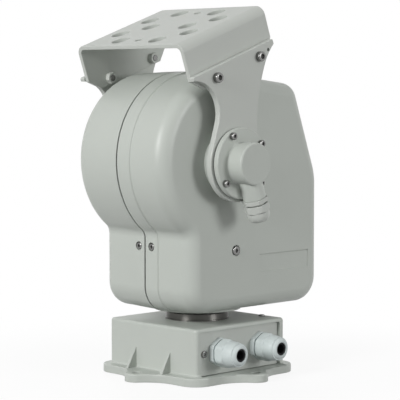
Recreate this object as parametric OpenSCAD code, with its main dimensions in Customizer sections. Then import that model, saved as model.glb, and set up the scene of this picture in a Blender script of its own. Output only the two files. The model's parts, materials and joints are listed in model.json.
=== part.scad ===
// Outdoor pan and tilt head: a flanged foot, a two-half cast body that pans on it,
// and a bent platform on two arms that tilts. Origin on the pan axis at the underside
// of the foot. The front faces -Y, the tilt axis runs along X.

/* [Foot] */
// Side of the square foot box
foot_w = 120; // [112:1:136]
// Height of the foot box
foot_h = 53; // [50:1:64]
// Radius of the upright corners of the foot box
foot_corner_r = 5; // [4:0.5:8]
// Rounding of the top edges of the foot box
foot_edge_r = 3; // [1:0.5:4]
// Wall thickness of the foot casting
foot_wall = 6; // [5:0.5:8]
// Thickness of the side wall that holds the cover
cover_wall = 12; // [10:0.5:14]
// Width of the square foot flange
flange_w = 142; // [138:1:150]
// Thickness of the foot flange
flange_t = 8; // [6:0.5:10]
// Corner radius of the foot flange
flange_corner_r = 12; // [8:1:16]
// Distance of the four fixing holes from the pan axis
fix_reach = 80.5; // [78:0.5:84]
// Diameter of the four fixing holes
fix_hole_d = 9; // [6.5:0.5:11]
// Radius of the ear round each fixing hole
ear_r = 11.5; // [9:0.5:12]
// Half width of each ear where it leaves the flange
ear_half = 38; // [34:1:42]
// Distance of each gusset from the middle of its side
gusset_y = 24; // [20:1:30]
// Thickness of each gusset
gusset_t = 3.5; // [3:0.5:5]
// Height of each gusset above the underside
gusset_top = 29.5; // [20:0.5:36]
// How far each gusset reaches out from the wall
gusset_reach = 12; // [8:0.5:13]

/* [Foot cover and cable glands] */
// Width of the side cover
cover_w = 108; // [100:1:110]
// Thickness of the side cover
cover_t = 3; // [2:0.5:4]
// How far the cover sits behind the outer wall
cover_recess = 2.5; // [1:0.5:4]
// Thickness of the cover gasket
cover_gasket_t = 1; // [0.6:0.1:1.5]
// Rim of the wall left above and below the cover
cover_rim = 4; // [3:0.5:5]
// Width of the ledge under the cover at its two ends
cover_ledge = 11; // [9:0.5:12]
// Distance of the two glands from the ends of the cover
gland_in = 26.3; // [25:0.1:28]
// Height of the glands above the underside
gland_z = 28.3; // [27:0.1:30]
// Thread diameter of the foot glands
gland_thread_d = 20; // [16:1:20]
// Width across flats of the foot glands
gland_flats = 26; // [23:0.5:27]
// Thickness of the gland hexagon on the cover
gland_hex_t = 5.5; // [4:0.5:7]
// How far the gland reaches out from the cover
gland_reach = 30.5; // [28:0.5:34]
// Diameter of the seal bore that grips the cable
gland_seal_d = 9; // [6:0.5:10]
// Mouth diameter of the gland nut
gland_mouth_d = 12.6; // [11:0.1:14]

/* [Pan bearing] */
// Diameter of the polished collar
collar_d = 63; // [58:1:70]
// Height of the polished collar
collar_h = 7; // [6:0.5:9]
// Gap between the collar and the turntable
pan_gap = 2.7; // [2.3:0.1:4]
// Diameter of the turntable boss under the body
turntable_d = 86; // [82:1:90]
// Thickness of the turntable boss
turntable_t = 3.3; // [3:0.1:5]
// Diameter of the pan shaft
pan_shaft_d = 32; // [30:1:34]
// Diameter of the cable bore in the pan shaft
pan_bore_d = 18; // [14:1:20]
// Outer diameter of the pan bearings
pan_bearing_d = 52; // [48:1:54]
// Thickness of each pan bearing
pan_bearing_t = 12; // [9:1:14]
// Space between the two pan bearings
pan_bearing_gap = 15.5; // [12:0.5:18]
// Outer diameter of the turntable hub
hub_d = 68; // [64:1:72]

/* [Body] */
// Half width of the body
body_half = 61.5; // [60:0.5:64]
// Wall thickness of the body shells
shell_t = 4; // [3:0.5:5]
// Distance of the front wall from the pan axis
body_front = 68.5; // [66:0.5:72]
// Distance of the rear wall from the pan axis
body_rear = 112; // [108:1:120]
// Height of the tilt axis above the body underside
tilt_rise = 142.5; // [140:0.5:150]
// Distance of the tilt axis in front of the pan axis
tilt_back = 23.5; // [20:0.5:26]
// Radius of the drum round the tilt axis
drum_r = 83; // [80:0.5:86]
// How far the drum centre lies behind the tilt axis
drum_shift_y = 2; // [0:0.5:4]
// How far the drum centre lies above the tilt axis
drum_shift_z = 1.7; // [0:0.1:3]
// Radius of the hollow between the drum and the front wall
throat_r = 11; // [9:0.5:14]
// Radius of the front lower edge
front_edge_r = 24; // [20:1:28]
// Radius of the rear lower edge
rear_edge_r = 25; // [20:1:28]
// Radius where the rear wall turns into the slope
soft_edge_r = 60; // [50:1:70]
// Radius of the rear upper edge
top_edge_r = 18; // [16:1:24]
// Angle that the roof's normal makes with the horizontal
roof_angle = 83.5; // [80:0.5:86]
// Angle that the rear slope's normal makes with the horizontal
slope_angle = 20.2; // [16:0.2:24]
// Distance of the rear slope from the drum centre
slope_reach = 119.35; // [115:0.05:122]
// Rounding of the two side edges
side_edge_r = 14.4; // [10:0.2:15]
// Width of the raised band beside the seam
band_w = 18; // [12:1:24]
// Height of the raised band beside the seam
band_proud = 1.2; // [0.6:0.1:1.5]
// Thickness of the gasket in the seam
seam_t = 0.8; // [0.4:0.1:1.5]
// Height of the four seam screws above the body underside
seam_screw_rise = 62; // [50:1:64]
// Distance of each seam screw from the seam
seam_screw_x = 5.5; // [5.2:0.1:7]
// Depth of the flat recess for a label
label_depth = 0.5; // [0.3:0.1:0.8]

/* [Tilt head] */
// Nose-down angle of the platform at rest
rest_tilt = 19.5; // [18:0.5:21]
// Distance of the platform's top face from the tilt axis
platform_rise = 126.5; // [125:0.5:130]
// Half width of the platform over its flanges
platform_half = 73.5; // [73:0.5:76]
// Thickness of the platform sheet
platform_t = 4; // [3:0.5:4.5]
// Length of the platform
platform_len = 114; // [110:1:120]
// Distance of the platform's middle behind the tilt axis
platform_mid = 29.5; // [28:0.5:31]
// Outer bend radius of the platform
platform_bend_r = 9; // [7:0.5:10]
// Pitch of the hole rows along the platform
row_pitch = 20.5; // [19:0.5:22]
// Diameter of the large platform holes
big_hole_d = 18; // [14:0.5:20]
// Diameter of the small platform holes
small_hole_d = 8; // [6:0.5:9]
// Distance of the outer large holes from the middle
outer_hole_x = 47.5; // [44:0.5:50]
// Distance of the inner large holes from the middle
inner_hole_x = 25.5; // [23:0.5:28]
// Thickness of each arm
arm_t = 6; // [5:0.5:8]
// Radius of the arm's round end
arm_end_r = 36.5; // [35:0.5:38]
// Distance of the platform screws from the platform's middle
platform_screw_u = 30; // [27:0.5:31]
// Distance of the platform screws from the tilt axis
platform_screw_w = 84.8; // [83.5:0.1:86]

/* [Tilt hub] */
// Diameter of the tilt shaft
tilt_shaft_d = 30; // [26:1:32]
// Diameter of the cable bore in the tilt shaft
tilt_bore_d = 16; // [10:1:20]
// Outer diameter of the tilt bearings
tilt_bearing_d = 48; // [46:1:50]
// Thickness of each tilt bearing
tilt_bearing_t = 12; // [9:1:12]
// Diameter of the boss on each side of the body
side_boss_d = 62; // [58:1:64]
// Gap between that boss and the arm
arm_gap = 0.6; // [0.4:0.1:1.5]
// Diameter of the hub cap flange
cap_d = 67; // [66:1:70]
// Thickness of the hub cap flange
cap_flange_t = 5.2; // [5:0.1:7]
// Thickness of the gasket under each hub cap
cap_gasket_t = 0.8; // [0.5:0.1:1.5]
// Diameter of the hub cap's cylinder
cap_neck_d = 40; // [39:1:44]
// Length of the right hub cap's cylinder
cap_neck_len = 17; // [16:0.5:22]
// Length of the left hub cap's cylinder
cap_left_len = 6; // [4:0.5:10]
// Bolt circle radius of the hub cap screws
cap_screw_r = 29.5; // [29:0.1:30]
// Outer diameter of the cable elbow
elbow_d = 22; // [20:0.5:22]
// Distance of the elbow from the arm
elbow_out = 11.9; // [11.5:0.1:13]
// Length of the elbow from the tilt axis
elbow_len = 34; // [32:0.5:40]
// Length of the elbow gland nut
elbow_nut_len = 17; // [15:0.5:20]
// Mouth diameter of the elbow gland nut
elbow_mouth_d = 11; // [9:0.5:12]
// Diameter of the elbow seal's bore that grips the cable
elbow_cable_d = 7; // [5:0.5:8]

/* [Drive] */
// Gear module of both drives
gear_module = 1.5; // [1.5:0.05:1.55]
// Teeth of the fixed pan wheel
pan_teeth = 60; // [58:1:62]
// Teeth of the tilt wheel
tilt_teeth = 72; // [70:1:74]
// Teeth of each motor pinion
pinion_teeth = 18; // [18:1:20]
// Face width of the gears
gear_t = 8; // [6:0.5:8]
// Side of the square motors
motor_w = 42; // [38:1:43]
// Length of each motor
motor_len = 50; // [40:1:52]
// Diameter of each motor shaft
motor_shaft_d = 8; // [6:0.5:9]
// Thickness of the chassis plates
chassis_t = 4; // [3:0.5:5]

/* [Hidden] */
$fn = 64;
eps = 0.01;

// Clearances
run_fit = 0.05;
slip_fit = 0.1;
air_gap = 0.3;
screw_play = 0.3;

// Paint and metal colours
paint = [0.70, 0.71, 0.68];
steel = [0.72, 0.73, 0.75];
dark = [0.12, 0.12, 0.13];
nylon = [0.86, 0.88, 0.91];
brass = [0.75, 0.62, 0.35];

// Screws: shank diameter, head diameter, head height, socket across flats
m4 = [4, 7, 4, 3];
m5 = [5, 9, 3, 3];
m6 = [6, 10, 5, 5];

// Foot, worked out
cover_face_x = foot_w / 2 - cover_recess;
cover_back_x = cover_face_x - cover_t;
gasket_back_x = cover_back_x - cover_gasket_t;
cover_z0 = flange_t - cover_rim / 8;
cover_h = foot_h - cover_rim - cover_z0;
cover_mid_z = cover_z0 + cover_h / 2;
ledge_z = 5.5;
cover_screw_y = cover_w / 2 - cover_ledge * 0.62;
foot_floor = foot_wall - 1;
gland_out_x = cover_face_x + gland_reach;
gland_gap = 1.5;
locknut_t = 4;
seal_end = 2.5;
seal_lip = 1;
gland_y = cover_w / 2 - gland_in;
gland_neck_r = gland_thread_d / 2 + 1;
gland_nut_x = cover_face_x + gland_hex_t + gland_gap;
gland_nut_len = gland_out_x - gland_nut_x;
gland_inner_r = gland_thread_d / 2 - 2.5;
gland_seal_r = gland_neck_r - 2;
gland_seal_len = 11;
earth_x = 38;
earth_y = 52;

// Pan stack, worked out
collar_top = foot_h + collar_h;
turntable_z = collar_top + pan_gap;
body_z = turntable_z + turntable_t;
lower_bearing_z = turntable_z + 1.8;
upper_bearing_z = lower_bearing_z + pan_bearing_t + pan_bearing_gap;
hub_top = upper_bearing_z + pan_bearing_t;
gear_z = hub_top + 2 * air_gap;
gear_seat_r = pan_shaft_d / 2 - 2;
pan_nut_t = 6.4;
shaft_flange_t = 6;
shaft_flange_r = pan_shaft_d / 2 + 12;
shaft_screw_r = pan_shaft_d / 2 + 6;
pan_reach = gear_module * (pan_teeth + pinion_teeth) / 2;
chassis_z = gear_z + gear_t + pan_nut_t + 3;
turntable_screw_r = (hub_d / 2 + turntable_d / 2) / 2;
leg_x = 42;
leg_y = [-36, 72];
motor_face_z = chassis_z + chassis_t;
rear_plate_y = pan_reach + motor_w / 2 + 2.5;

// Body profile, worked out in the plane of Y and Z
tilt_y = -tilt_back;
tilt_z = body_z + tilt_rise;
drum_y = tilt_y + drum_shift_y;
drum_z = tilt_z + drum_shift_z;
throat_y = -body_front - throat_r;
throat_z = drum_z - sqrt(pow(drum_r + throat_r, 2) - pow(drum_y - throat_y, 2));
throat_a = atan2(drum_z - throat_z, drum_y - throat_y);
slope_n = [cos(slope_angle), sin(slope_angle)];
roof_n = [cos(roof_angle), sin(roof_angle)];
corner_det = roof_n[0] * slope_n[1] - roof_n[1] * slope_n[0];
corner_a = drum_r - top_edge_r;
corner_b = slope_reach - top_edge_r;
top_corner = [drum_y + (corner_a * slope_n[1] - corner_b * roof_n[1]) / corner_det,
              drum_z + (corner_b * roof_n[0] - corner_a * slope_n[0]) / corner_det];
soft_y = body_rear - soft_edge_r;
soft_z = drum_z + (slope_reach - soft_edge_r - (soft_y - drum_y) * slope_n[0]) / slope_n[1];
core = [tilt_y + 13.5, tilt_z - 68.5];
arc_step = 7.5;
rounding_steps = 5;
label_y = [24.5, 93.7];
label_rise = [35, 52.3];
inner_half = body_half - shell_t;
side_screw_y = -8;
side_screw_z = chassis_z + chassis_t / 2;

// Tilt hub, worked out
arm_x = platform_half;
arm_out_x = arm_x + arm_t;
boss_x = arm_x - arm_gap;
tilt_bearing_x = boss_x - 6 - tilt_bearing_t;
boss_in_x = min(inner_half, tilt_bearing_x) - 2;
cap_x = arm_out_x + cap_gasket_t;
cap_face_x = cap_x + cap_flange_t;
shaft_nut_t = 3.6;
shaft_end_x = arm_out_x + shaft_nut_t + 0.5;
cap_bore_r = tilt_shaft_d / 2 + 1;
tilt_seal_r = tilt_shaft_d / 2 + 5;
cap_screw_angles = [17.8, 99.7, 197.8, 300];
elbow_x = arm_out_x + elbow_out;
elbow_u = -2;
elbow_bore_r = 8;
elbow_inner_r = 5.5;
elbow_flats = 22.4;
elbow_hex_t = 4;
elbow_neck_r = 8.8;
elbow_seal_r = 7.4;
elbow_seal_len = 9;
elbow_seal_at = elbow_hex_t + gland_gap + elbow_nut_len - seal_end - elbow_seal_len;
tilt_reach = gear_module * (tilt_teeth + pinion_teeth) / 2;
tilt_gear_x = -22;
motor_plate_x = -11;
cam_r = 24;
cam_x = motor_plate_x + chassis_t + 1;
cam_t = 8;
plate_front_y = tilt_y + 21.5;
pinion_y = tilt_y + tilt_reach;
platform_u0 = platform_mid - platform_len / 2;
platform_u1 = platform_mid + platform_len / 2;
flange_low_w = platform_screw_w - 6.8;
flange_tip_w = 90;
hole_rows = [for (k = [-2:2]) platform_mid + k * row_pitch];

// Points along an arc, from angle a0 to a1 in about arc_step degrees each
function arc(c, r, a0, a1, step = arc_step) =
    let (n = max(1, ceil(abs(a1 - a0) / step)))
    [for (i = [0:n]) let (a = a0 + (a1 - a0) * i / n) [c[0] + r * cos(a), c[1] + r * sin(a)]];

// Centre of the circle through three points
function centre3(a, b, c) =
    let (d = 2 * (a[0] * (b[1] - c[1]) + b[0] * (c[1] - a[1]) + c[0] * (a[1] - b[1])),
         qa = a * a, qb = b * b, qc = c * c)
    [(qa * (b[1] - c[1]) + qb * (c[1] - a[1]) + qc * (a[1] - b[1])) / d,
     (qa * (c[0] - b[0]) + qb * (a[0] - c[0]) + qc * (b[0] - a[0])) / d];

// Points on the arc from a through b to c
function arc3(a, b, c, n = 8) =
    let (m = centre3(a, b, c), r = norm(a - m),
         t0 = atan2(a[1] - m[1], a[0] - m[0]),
         t1 = atan2(c[1] - m[1], c[0] - m[0]),
         turn = t1 - t0 > 180 ? t1 - t0 - 360 : (t1 - t0 < -180 ? t1 - t0 + 360 : t1 - t0))
    [for (i = [0:n]) m + r * [cos(t0 + turn * i / n), sin(t0 + turn * i / n)]];

// A list without its first entry
function tail(list) = [for (i = [1:len(list) - 1]) list[i]];

// Side profile of the body, drawn in by d
function profile(d) = concat(
    arc([body_rear - rear_edge_r, body_z + rear_edge_r], rear_edge_r - d, -90, 0),
    arc([soft_y, soft_z], soft_edge_r - d, 0, slope_angle),
    arc(top_corner, top_edge_r - d, slope_angle, roof_angle),
    arc([drum_y, drum_z], drum_r - d, roof_angle, 180 + throat_a),
    tail(arc([throat_y, throat_z], throat_r + d, throat_a, 0)),
    arc([front_edge_r - body_front, body_z + front_edge_r], front_edge_r - d, 180, 270));

// Solid through one profile at each station, a station being [x, inset], its two ends
// closed by fans about the core and its underside kept flat
module loft(stations) {
    n = len(profile(0));
    m = len(stations);
    skin = [for (s = stations) for (p = profile(s[1])) [s[0], p[0], max(p[1], body_z)]];
    cores = [for (i = [0, m - 1]) [stations[i][0], core[0], core[1]]];
    sides = [for (i = [0:m - 2]) for (j = [0:n - 1]) let (k = (j + 1) % n)
             each [[i * n + j, (i + 1) * n + j, (i + 1) * n + k],
                   [i * n + j, (i + 1) * n + k, i * n + k]]];
    ends = [for (j = [0:n - 1]) let (k = (j + 1) % n)
            each [[m * n, j, k], [m * n + 1, (m - 1) * n + k, (m - 1) * n + j]]];
    polyhedron(concat(skin, cores), concat(sides, ends));
}

// Stations of a rounded side edge that ends at x with rounding r, on a base inset d
function rounded_side(x, r, d) =
    [for (i = [0:rounding_steps]) let (a = 90 * i / rounding_steps)
     [x - r + r * sin(a), d + r - r * cos(a)]];

// Turns a drawing in the XY plane to stand on the YZ plane, its height along X
module across(x) {
    translate([x, 0, 0]) rotate([90, 0, 90]) children();
}

// Places children on the right side and their mirror image on the left
module both_sides() {
    children();
    mirror([1, 0, 0]) children();
}

// Frame of the tilt head at rest: X along the axis, Y along the platform, Z up through it
module tilted() {
    translate([0, tilt_y, tilt_z]) rotate([rest_tilt, 0, 0]) children();
}

// Flat ring
module ring(r_out, r_in, h) {
    difference() {
        cylinder(r = r_out, h = h);
        translate([0, 0, -1]) cylinder(r = r_in, h = h + 2);
    }
}

// Cap screw with a socket, its head's seat at the origin and its shank down -Z
module cap_screw(s, shank) {
    difference() {
        union() {
            cylinder(d = s[1], h = s[2]);
            translate([0, 0, -shank]) cylinder(d = s[0], h = shank + eps);
        }
        translate([0, 0, s[2] * 0.45]) cylinder(d = s[3] / cos(30), h = s[2], $fn = 6);
    }
}

// Hexagonal nut, its bottom at the origin
module hex_nut(flats, bore, h) {
    difference() {
        cylinder(d = flats / cos(30), h = h, $fn = 6);
        translate([0, 0, -1]) cylinder(d = bore, h = h + 2);
    }
}

// Bearing with a recessed shield on each face
module bearing(r_out, r_in, h) {
    shield_in = r_in + 3.5;
    shield_out = r_out - 3.5;
    difference() {
        ring(r_out, r_in, h);
        for (z = [-1, h - 0.6])
            translate([0, 0, z]) ring(shield_out, shield_in, 1.6);
    }
}

// Outline of a spur gear with involute flanks, a tooth on the X axis
module gear_outline(teeth) {
    slack = 0.12;
    pressure = 20;
    r = gear_module * teeth / 2;
    base = r * cos(pressure);
    tip = r + gear_module;
    root = r - 1.25 * gear_module;
    half = 90 / teeth - slack / r * 90 / PI;
    function inv(a) = tan(a) * 180 / PI - a;
    function flank(q) = half + inv(pressure) - inv(acos(min(1, base / q)));
    radii = [max(base, root), r, tip];
    side = concat([[root, flank(radii[0])]], [for (q = radii) [q, flank(q)]]);
    rising = [for (s = side) [s[0], -s[1]]];
    falling = [for (i = [len(side) - 1:-1:0]) side[i]];
    polygon([for (k = [0:teeth - 1]) for (s = concat(rising, falling))
             s[0] * [cos(s[1] + 360 * k / teeth), sin(s[1] + 360 * k / teeth)]]);
}

// Foot

// One ear of the flange, pointing along +X, with hollow flanks
module ear_outline() {
    edge = flange_w / 2;
    step = fix_reach - edge;
    flank_r = (ear_half * ear_half + step * step - ear_r * ear_r) / (2 * (ear_r + step));
    centre = [edge + flank_r, ear_half];
    out = [fix_reach, 0] - centre;
    touch = centre + flank_r * out / norm(out);
    difference() {
        polygon([[edge - 1, -ear_half], [edge, -ear_half], [touch[0], -touch[1]],
                 touch, [edge, ear_half], [edge - 1, ear_half]]);
        for (s = [-1, 1])
            translate([centre[0], s * centre[1]]) circle(r = flank_r);
    }
    translate([fix_reach, 0]) circle(r = ear_r);
}

module flange_outline() {
    c = flange_w / 2 - flange_corner_r;
    square([flange_w, 2 * c], center = true);
    square([2 * c, flange_w], center = true);
    for (x = [-c, c]) for (y = [-c, c])
        translate([x, y]) circle(r = flange_corner_r);
    for (a = [0:90:270])
        rotate(a) ear_outline();
}

// Box with rounded upright corners and a rounded top
module foot_block() {
    c = foot_w / 2 - foot_corner_r;
    hull() {
        for (x = [-c, c]) for (y = [-c, c])
            translate([x, y, 0]) {
                cylinder(r = foot_corner_r, h = foot_h - foot_edge_r, $fn = 32);
                translate([0, 0, foot_h - foot_edge_r])
                    rotate_extrude($fn = 32)
                        polygon(concat([[0, 0]],
                            arc([foot_corner_r - foot_edge_r, 0], foot_edge_r, 0, 90, 22.5),
                            [[0, foot_edge_r]]));
            }
    }
}

// Opening in the side wall behind the cover
module cover_opening(depth) {
    w = cover_w - 2 * cover_ledge;
    h = cover_h - 2 * ledge_z;
    translate([gasket_back_x - depth, -w / 2, cover_mid_z - h / 2]) cube([depth + 1, w, h]);
}

module foot_gusset() {
    translate([0, gusset_t / 2, 0]) rotate([90, 0, 0]) linear_extrude(gusset_t)
        polygon([[foot_w / 2 - 1, flange_t - 1], [foot_w / 2 + gusset_reach, flange_t - 1],
                 [foot_w / 2 + gusset_reach, flange_t], [foot_w / 2, gusset_top],
                 [foot_w / 2 - 1, gusset_top]]);
}

module foot_housing() {
    inner = foot_w - 2 * foot_wall;
    inner_x1 = foot_w / 2 - cover_wall;
    color(paint) difference() {
        union() {
            linear_extrude(flange_t) flange_outline();
            foot_block();
            for (a = [90, 180, 270]) rotate(a)
                for (s = [-1, 1])
                    translate([0, s * gusset_y, 0]) foot_gusset();
        }
        translate([-inner / 2, -inner / 2, foot_floor])
            cube([inner_x1 + inner / 2, inner, foot_h - foot_wall - foot_floor]);
        translate([gasket_back_x, -cover_w / 2 - slip_fit, cover_z0 - slip_fit])
            cube([foot_w, cover_w + 2 * slip_fit, cover_h + 2 * slip_fit]);
        cover_opening(cover_wall);
        for (s = [-1, 1])
            translate([0, s * cover_screw_y, cover_mid_z]) across(gasket_back_x - 5)
                cylinder(d = m4[0] + 2 * run_fit, h = 6);
        for (a = [0:90:270]) rotate(a)
            translate([fix_reach, 0, -1]) cylinder(d = fix_hole_d, h = flange_t + 2);
        translate([0, 0, foot_h - foot_wall - 1])
            cylinder(d = pan_shaft_d + 2 * slip_fit, h = foot_wall + 2);
        for (a = [45:90:315]) rotate(a)
            translate([shaft_screw_r, 0, foot_h - foot_wall - 1])
                cylinder(d = m4[0] + 2 * run_fit, h = 5.5);
        translate([earth_x, earth_y, foot_h - 5]) cylinder(d = m4[0] + 2 * run_fit, h = 6);
    }
}

module earth_screw() {
    color(steel) translate([earth_x, earth_y, foot_h]) cap_screw([4, 6.5, 2.2, 2.5], 4.5);
}

module cover_gasket() {
    h = cover_h;
    color(dark) difference() {
        translate([gasket_back_x, -cover_w / 2, cover_z0]) cube([cover_gasket_t, cover_w, h]);
        cover_opening(cover_wall);
        for (s = [-1, 1])
            translate([0, s * cover_screw_y, cover_mid_z]) across(gasket_back_x - 1)
                cylinder(d = m4[0] + screw_play, h = cover_gasket_t + 2);
    }
}

module foot_cover() {
    color(paint) difference() {
        translate([cover_back_x, -cover_w / 2, cover_z0]) cube([cover_t, cover_w, cover_h]);
        for (s = [-1, 1]) {
            translate([0, s * cover_screw_y, cover_mid_z]) across(cover_back_x - 1)
                cylinder(d = m4[0] + screw_play, h = cover_t + 2);
            translate([0, s * gland_y, gland_z]) across(cover_back_x - 1)
                cylinder(d = gland_thread_d + screw_play, h = cover_t + 2);
        }
    }
}

module cover_screws() {
    color(steel) for (s = [-1, 1])
        translate([0, s * cover_screw_y, cover_mid_z]) across(cover_face_x)
            cap_screw([4, 8, 2.4, 2.5], cover_t + cover_gasket_t + 4);
}

// Profile of a gland nut's dome: hexagon below, rounded nose above
module dome_nut(flats, len, bore_r, mouth_r) {
    r = flats / 2 / cos(30);
    nose = 0.36 * len;
    difference() {
        intersection() {
            cylinder(r = r, h = len, $fn = 6);
            rotate_extrude() polygon(concat([[0, 0], [r - 0.6, 0], [r, 0.8]],
                arc([r - nose, len - nose], nose, 0, 78, 13), [[0, len]]));
        }
        translate([0, 0, -1]) cylinder(r = bore_r, h = len - seal_end + 1);
        cylinder(r = mouth_r, h = len + 1);
    }
}

module gland_bodies() {
    neck_len = gland_nut_len - seal_end - 1;
    color(nylon) for (s = [-1, 1])
        translate([0, s * gland_y, gland_z]) across(cover_face_x) difference() {
            union() {
                translate([0, 0, -cover_t - 8]) cylinder(d = gland_thread_d, h = cover_t + 8 + eps);
                rotate(15) cylinder(d = gland_flats / cos(30), h = gland_hex_t, $fn = 6);
                cylinder(r = gland_neck_r, h = gland_hex_t + gland_gap + neck_len);
            }
            translate([0, 0, -cover_t - 9])
                cylinder(r = gland_inner_r, h = gland_reach + cover_t + 9);
            translate([0, 0, gland_reach - seal_end - gland_seal_len])
                cylinder(r = gland_seal_r, h = gland_seal_len + 1);
        }
}

module gland_nuts() {
    color(nylon) for (s = [-1, 1])
        translate([0, s * gland_y, gland_z]) across(gland_nut_x) rotate(15)
            dome_nut(gland_flats, gland_nut_len, gland_neck_r + slip_fit, gland_mouth_d / 2);
}

// Cable seal with a lip in the bore behind it and another in the nut's mouth
module cable_seal(r, bore_d, len, back_r, nose_r) {
    difference() {
        union() {
            cylinder(r = r, h = len);
            translate([0, 0, -seal_lip]) cylinder(r = back_r - slip_fit, h = seal_lip + eps);
            cylinder(r = nose_r - slip_fit, h = len + seal_lip);
        }
        translate([0, 0, -2 * seal_lip]) cylinder(d = bore_d, h = len + 4 * seal_lip);
    }
}

module gland_seals() {
    color(dark) for (s = [-1, 1])
        translate([0, s * gland_y, gland_z]) across(gland_out_x - seal_end - gland_seal_len)
            cable_seal(gland_seal_r, gland_seal_d, gland_seal_len,
                gland_inner_r, gland_mouth_d / 2);
}

module gland_locknuts() {
    color(nylon) for (s = [-1, 1])
        translate([0, s * gland_y, gland_z]) across(cover_back_x - locknut_t)
            hex_nut(gland_flats - 2, gland_thread_d + 2 * slip_fit, locknut_t);
}

module terminal_board() {
    board_x = -34;
    board_h = 1.6;
    post_h = 6;
    color([0.25, 0.45, 0.32]) {
        translate([board_x, 0, foot_floor + post_h + board_h / 2])
            cube([36, 70, board_h], center = true);
        for (x = [-14, 14]) for (y = [-31, 31])
            translate([board_x + x, y, foot_floor]) cylinder(r = 3, h = post_h);
        for (y = [-27:9:27]) difference() {
            translate([board_x, y, foot_floor + post_h + board_h + 5])
                cube([24, 8, 10], center = true);
            for (x = [-7, 7])
                translate([board_x + x, y, foot_floor + post_h + board_h + 6])
                    cylinder(r = 2, h = 10);
        }
    }
}

// Pan bearing

module pan_collar() {
    r = collar_d / 2;
    color(steel) translate([0, 0, foot_h]) rotate_extrude()
        polygon([[pan_shaft_d / 2 + slip_fit, 0], [r, 0], [r, 3], [r - 1, 3.4], [r - 1, 3.9],
                 [r, 4.3], [r, collar_h - 0.6], [r - 0.6, collar_h],
                 [pan_shaft_d / 2 + slip_fit, collar_h]]);
}

module pan_shaft() {
    z0 = foot_h - foot_wall - shaft_flange_t;
    color(steel) difference() {
        union() {
            translate([0, 0, z0]) cylinder(r = shaft_flange_r, h = shaft_flange_t);
            translate([0, 0, z0]) cylinder(d = pan_shaft_d, h = gear_z - z0);
            translate([0, 0, z0]) cylinder(r = gear_seat_r, h = gear_z + gear_t - z0);
            translate([0, 0, z0]) cylinder(r = gear_seat_r - 1, h = gear_z + gear_t + pan_nut_t + 2 - z0);
        }
        translate([0, 0, z0 - 1]) cylinder(d = pan_bore_d, h = 120);
        for (a = [45:90:315]) rotate(a)
            translate([shaft_screw_r, 0, z0 - 1])
                cylinder(d = m4[0] + screw_play, h = shaft_flange_t + 2);
    }
}

module pan_shaft_screws() {
    z0 = foot_h - foot_wall - shaft_flange_t;
    color(steel) for (a = [45:90:315]) rotate(a)
        translate([shaft_screw_r, 0, z0]) rotate([180, 0, 0])
            cap_screw(m4, shaft_flange_t + 4);
}

module pan_gear() {
    color(brass) translate([0, 0, gear_z]) difference() {
        linear_extrude(gear_t) rotate(90) gear_outline(pan_teeth);
        translate([0, 0, -1]) cylinder(r = gear_seat_r, h = gear_t + 2);
        for (a = [45:90:315]) rotate(a)
            translate([30, 0, -1]) cylinder(r = 6, h = gear_t + 2);
    }
}

module pan_shaft_nut() {
    color(steel) translate([0, 0, gear_z + gear_t])
        hex_nut(pan_shaft_d + 4, 2 * gear_seat_r - 2, pan_nut_t);
}

module turntable() {
    seat_r = pan_bearing_d / 2;
    color(paint) difference() {
        union() {
            translate([0, 0, turntable_z]) cylinder(d = turntable_d, h = turntable_t);
            translate([0, 0, turntable_z]) cylinder(d = hub_d, h = hub_top - turntable_z);
        }
        translate([0, 0, turntable_z - 1]) cylinder(r = pan_shaft_d / 2 + 1, h = 60);
        translate([0, 0, lower_bearing_z]) cylinder(r = seat_r, h = pan_bearing_t);
        translate([0, 0, lower_bearing_z]) cylinder(r = seat_r - 4, h = hub_top - lower_bearing_z);
        translate([0, 0, upper_bearing_z]) cylinder(r = seat_r, h = pan_bearing_t + 1);
        for (a = [45:90:315]) rotate(a) translate([turntable_screw_r, 0, 0]) {
            translate([0, 0, turntable_z - 1]) cylinder(d = m4[0] + screw_play, h = 10);
            translate([0, 0, turntable_z - eps]) cylinder(r1 = 3.6, r2 = 2.1, h = 1.5);
        }
    }
}

module turntable_screws() {
    color(steel) for (a = [45:90:315]) rotate(a)
        translate([turntable_screw_r, 0, turntable_z]) {
            cylinder(r1 = 3.5, r2 = 2, h = 1.5);
            cylinder(d = m4[0], h = turntable_t + shell_t - 0.5);
        }
}

module pan_seal() {
    color(dark) translate([0, 0, collar_top + air_gap])
        ring(pan_shaft_d / 2 + 9, pan_shaft_d / 2 + 2, turntable_z - collar_top - air_gap);
}

module pan_bearings() {
    color(steel) for (z = [lower_bearing_z, upper_bearing_z])
        translate([0, 0, z])
            bearing(pan_bearing_d / 2, pan_shaft_d / 2 + run_fit, pan_bearing_t);
}

// Body

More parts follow.
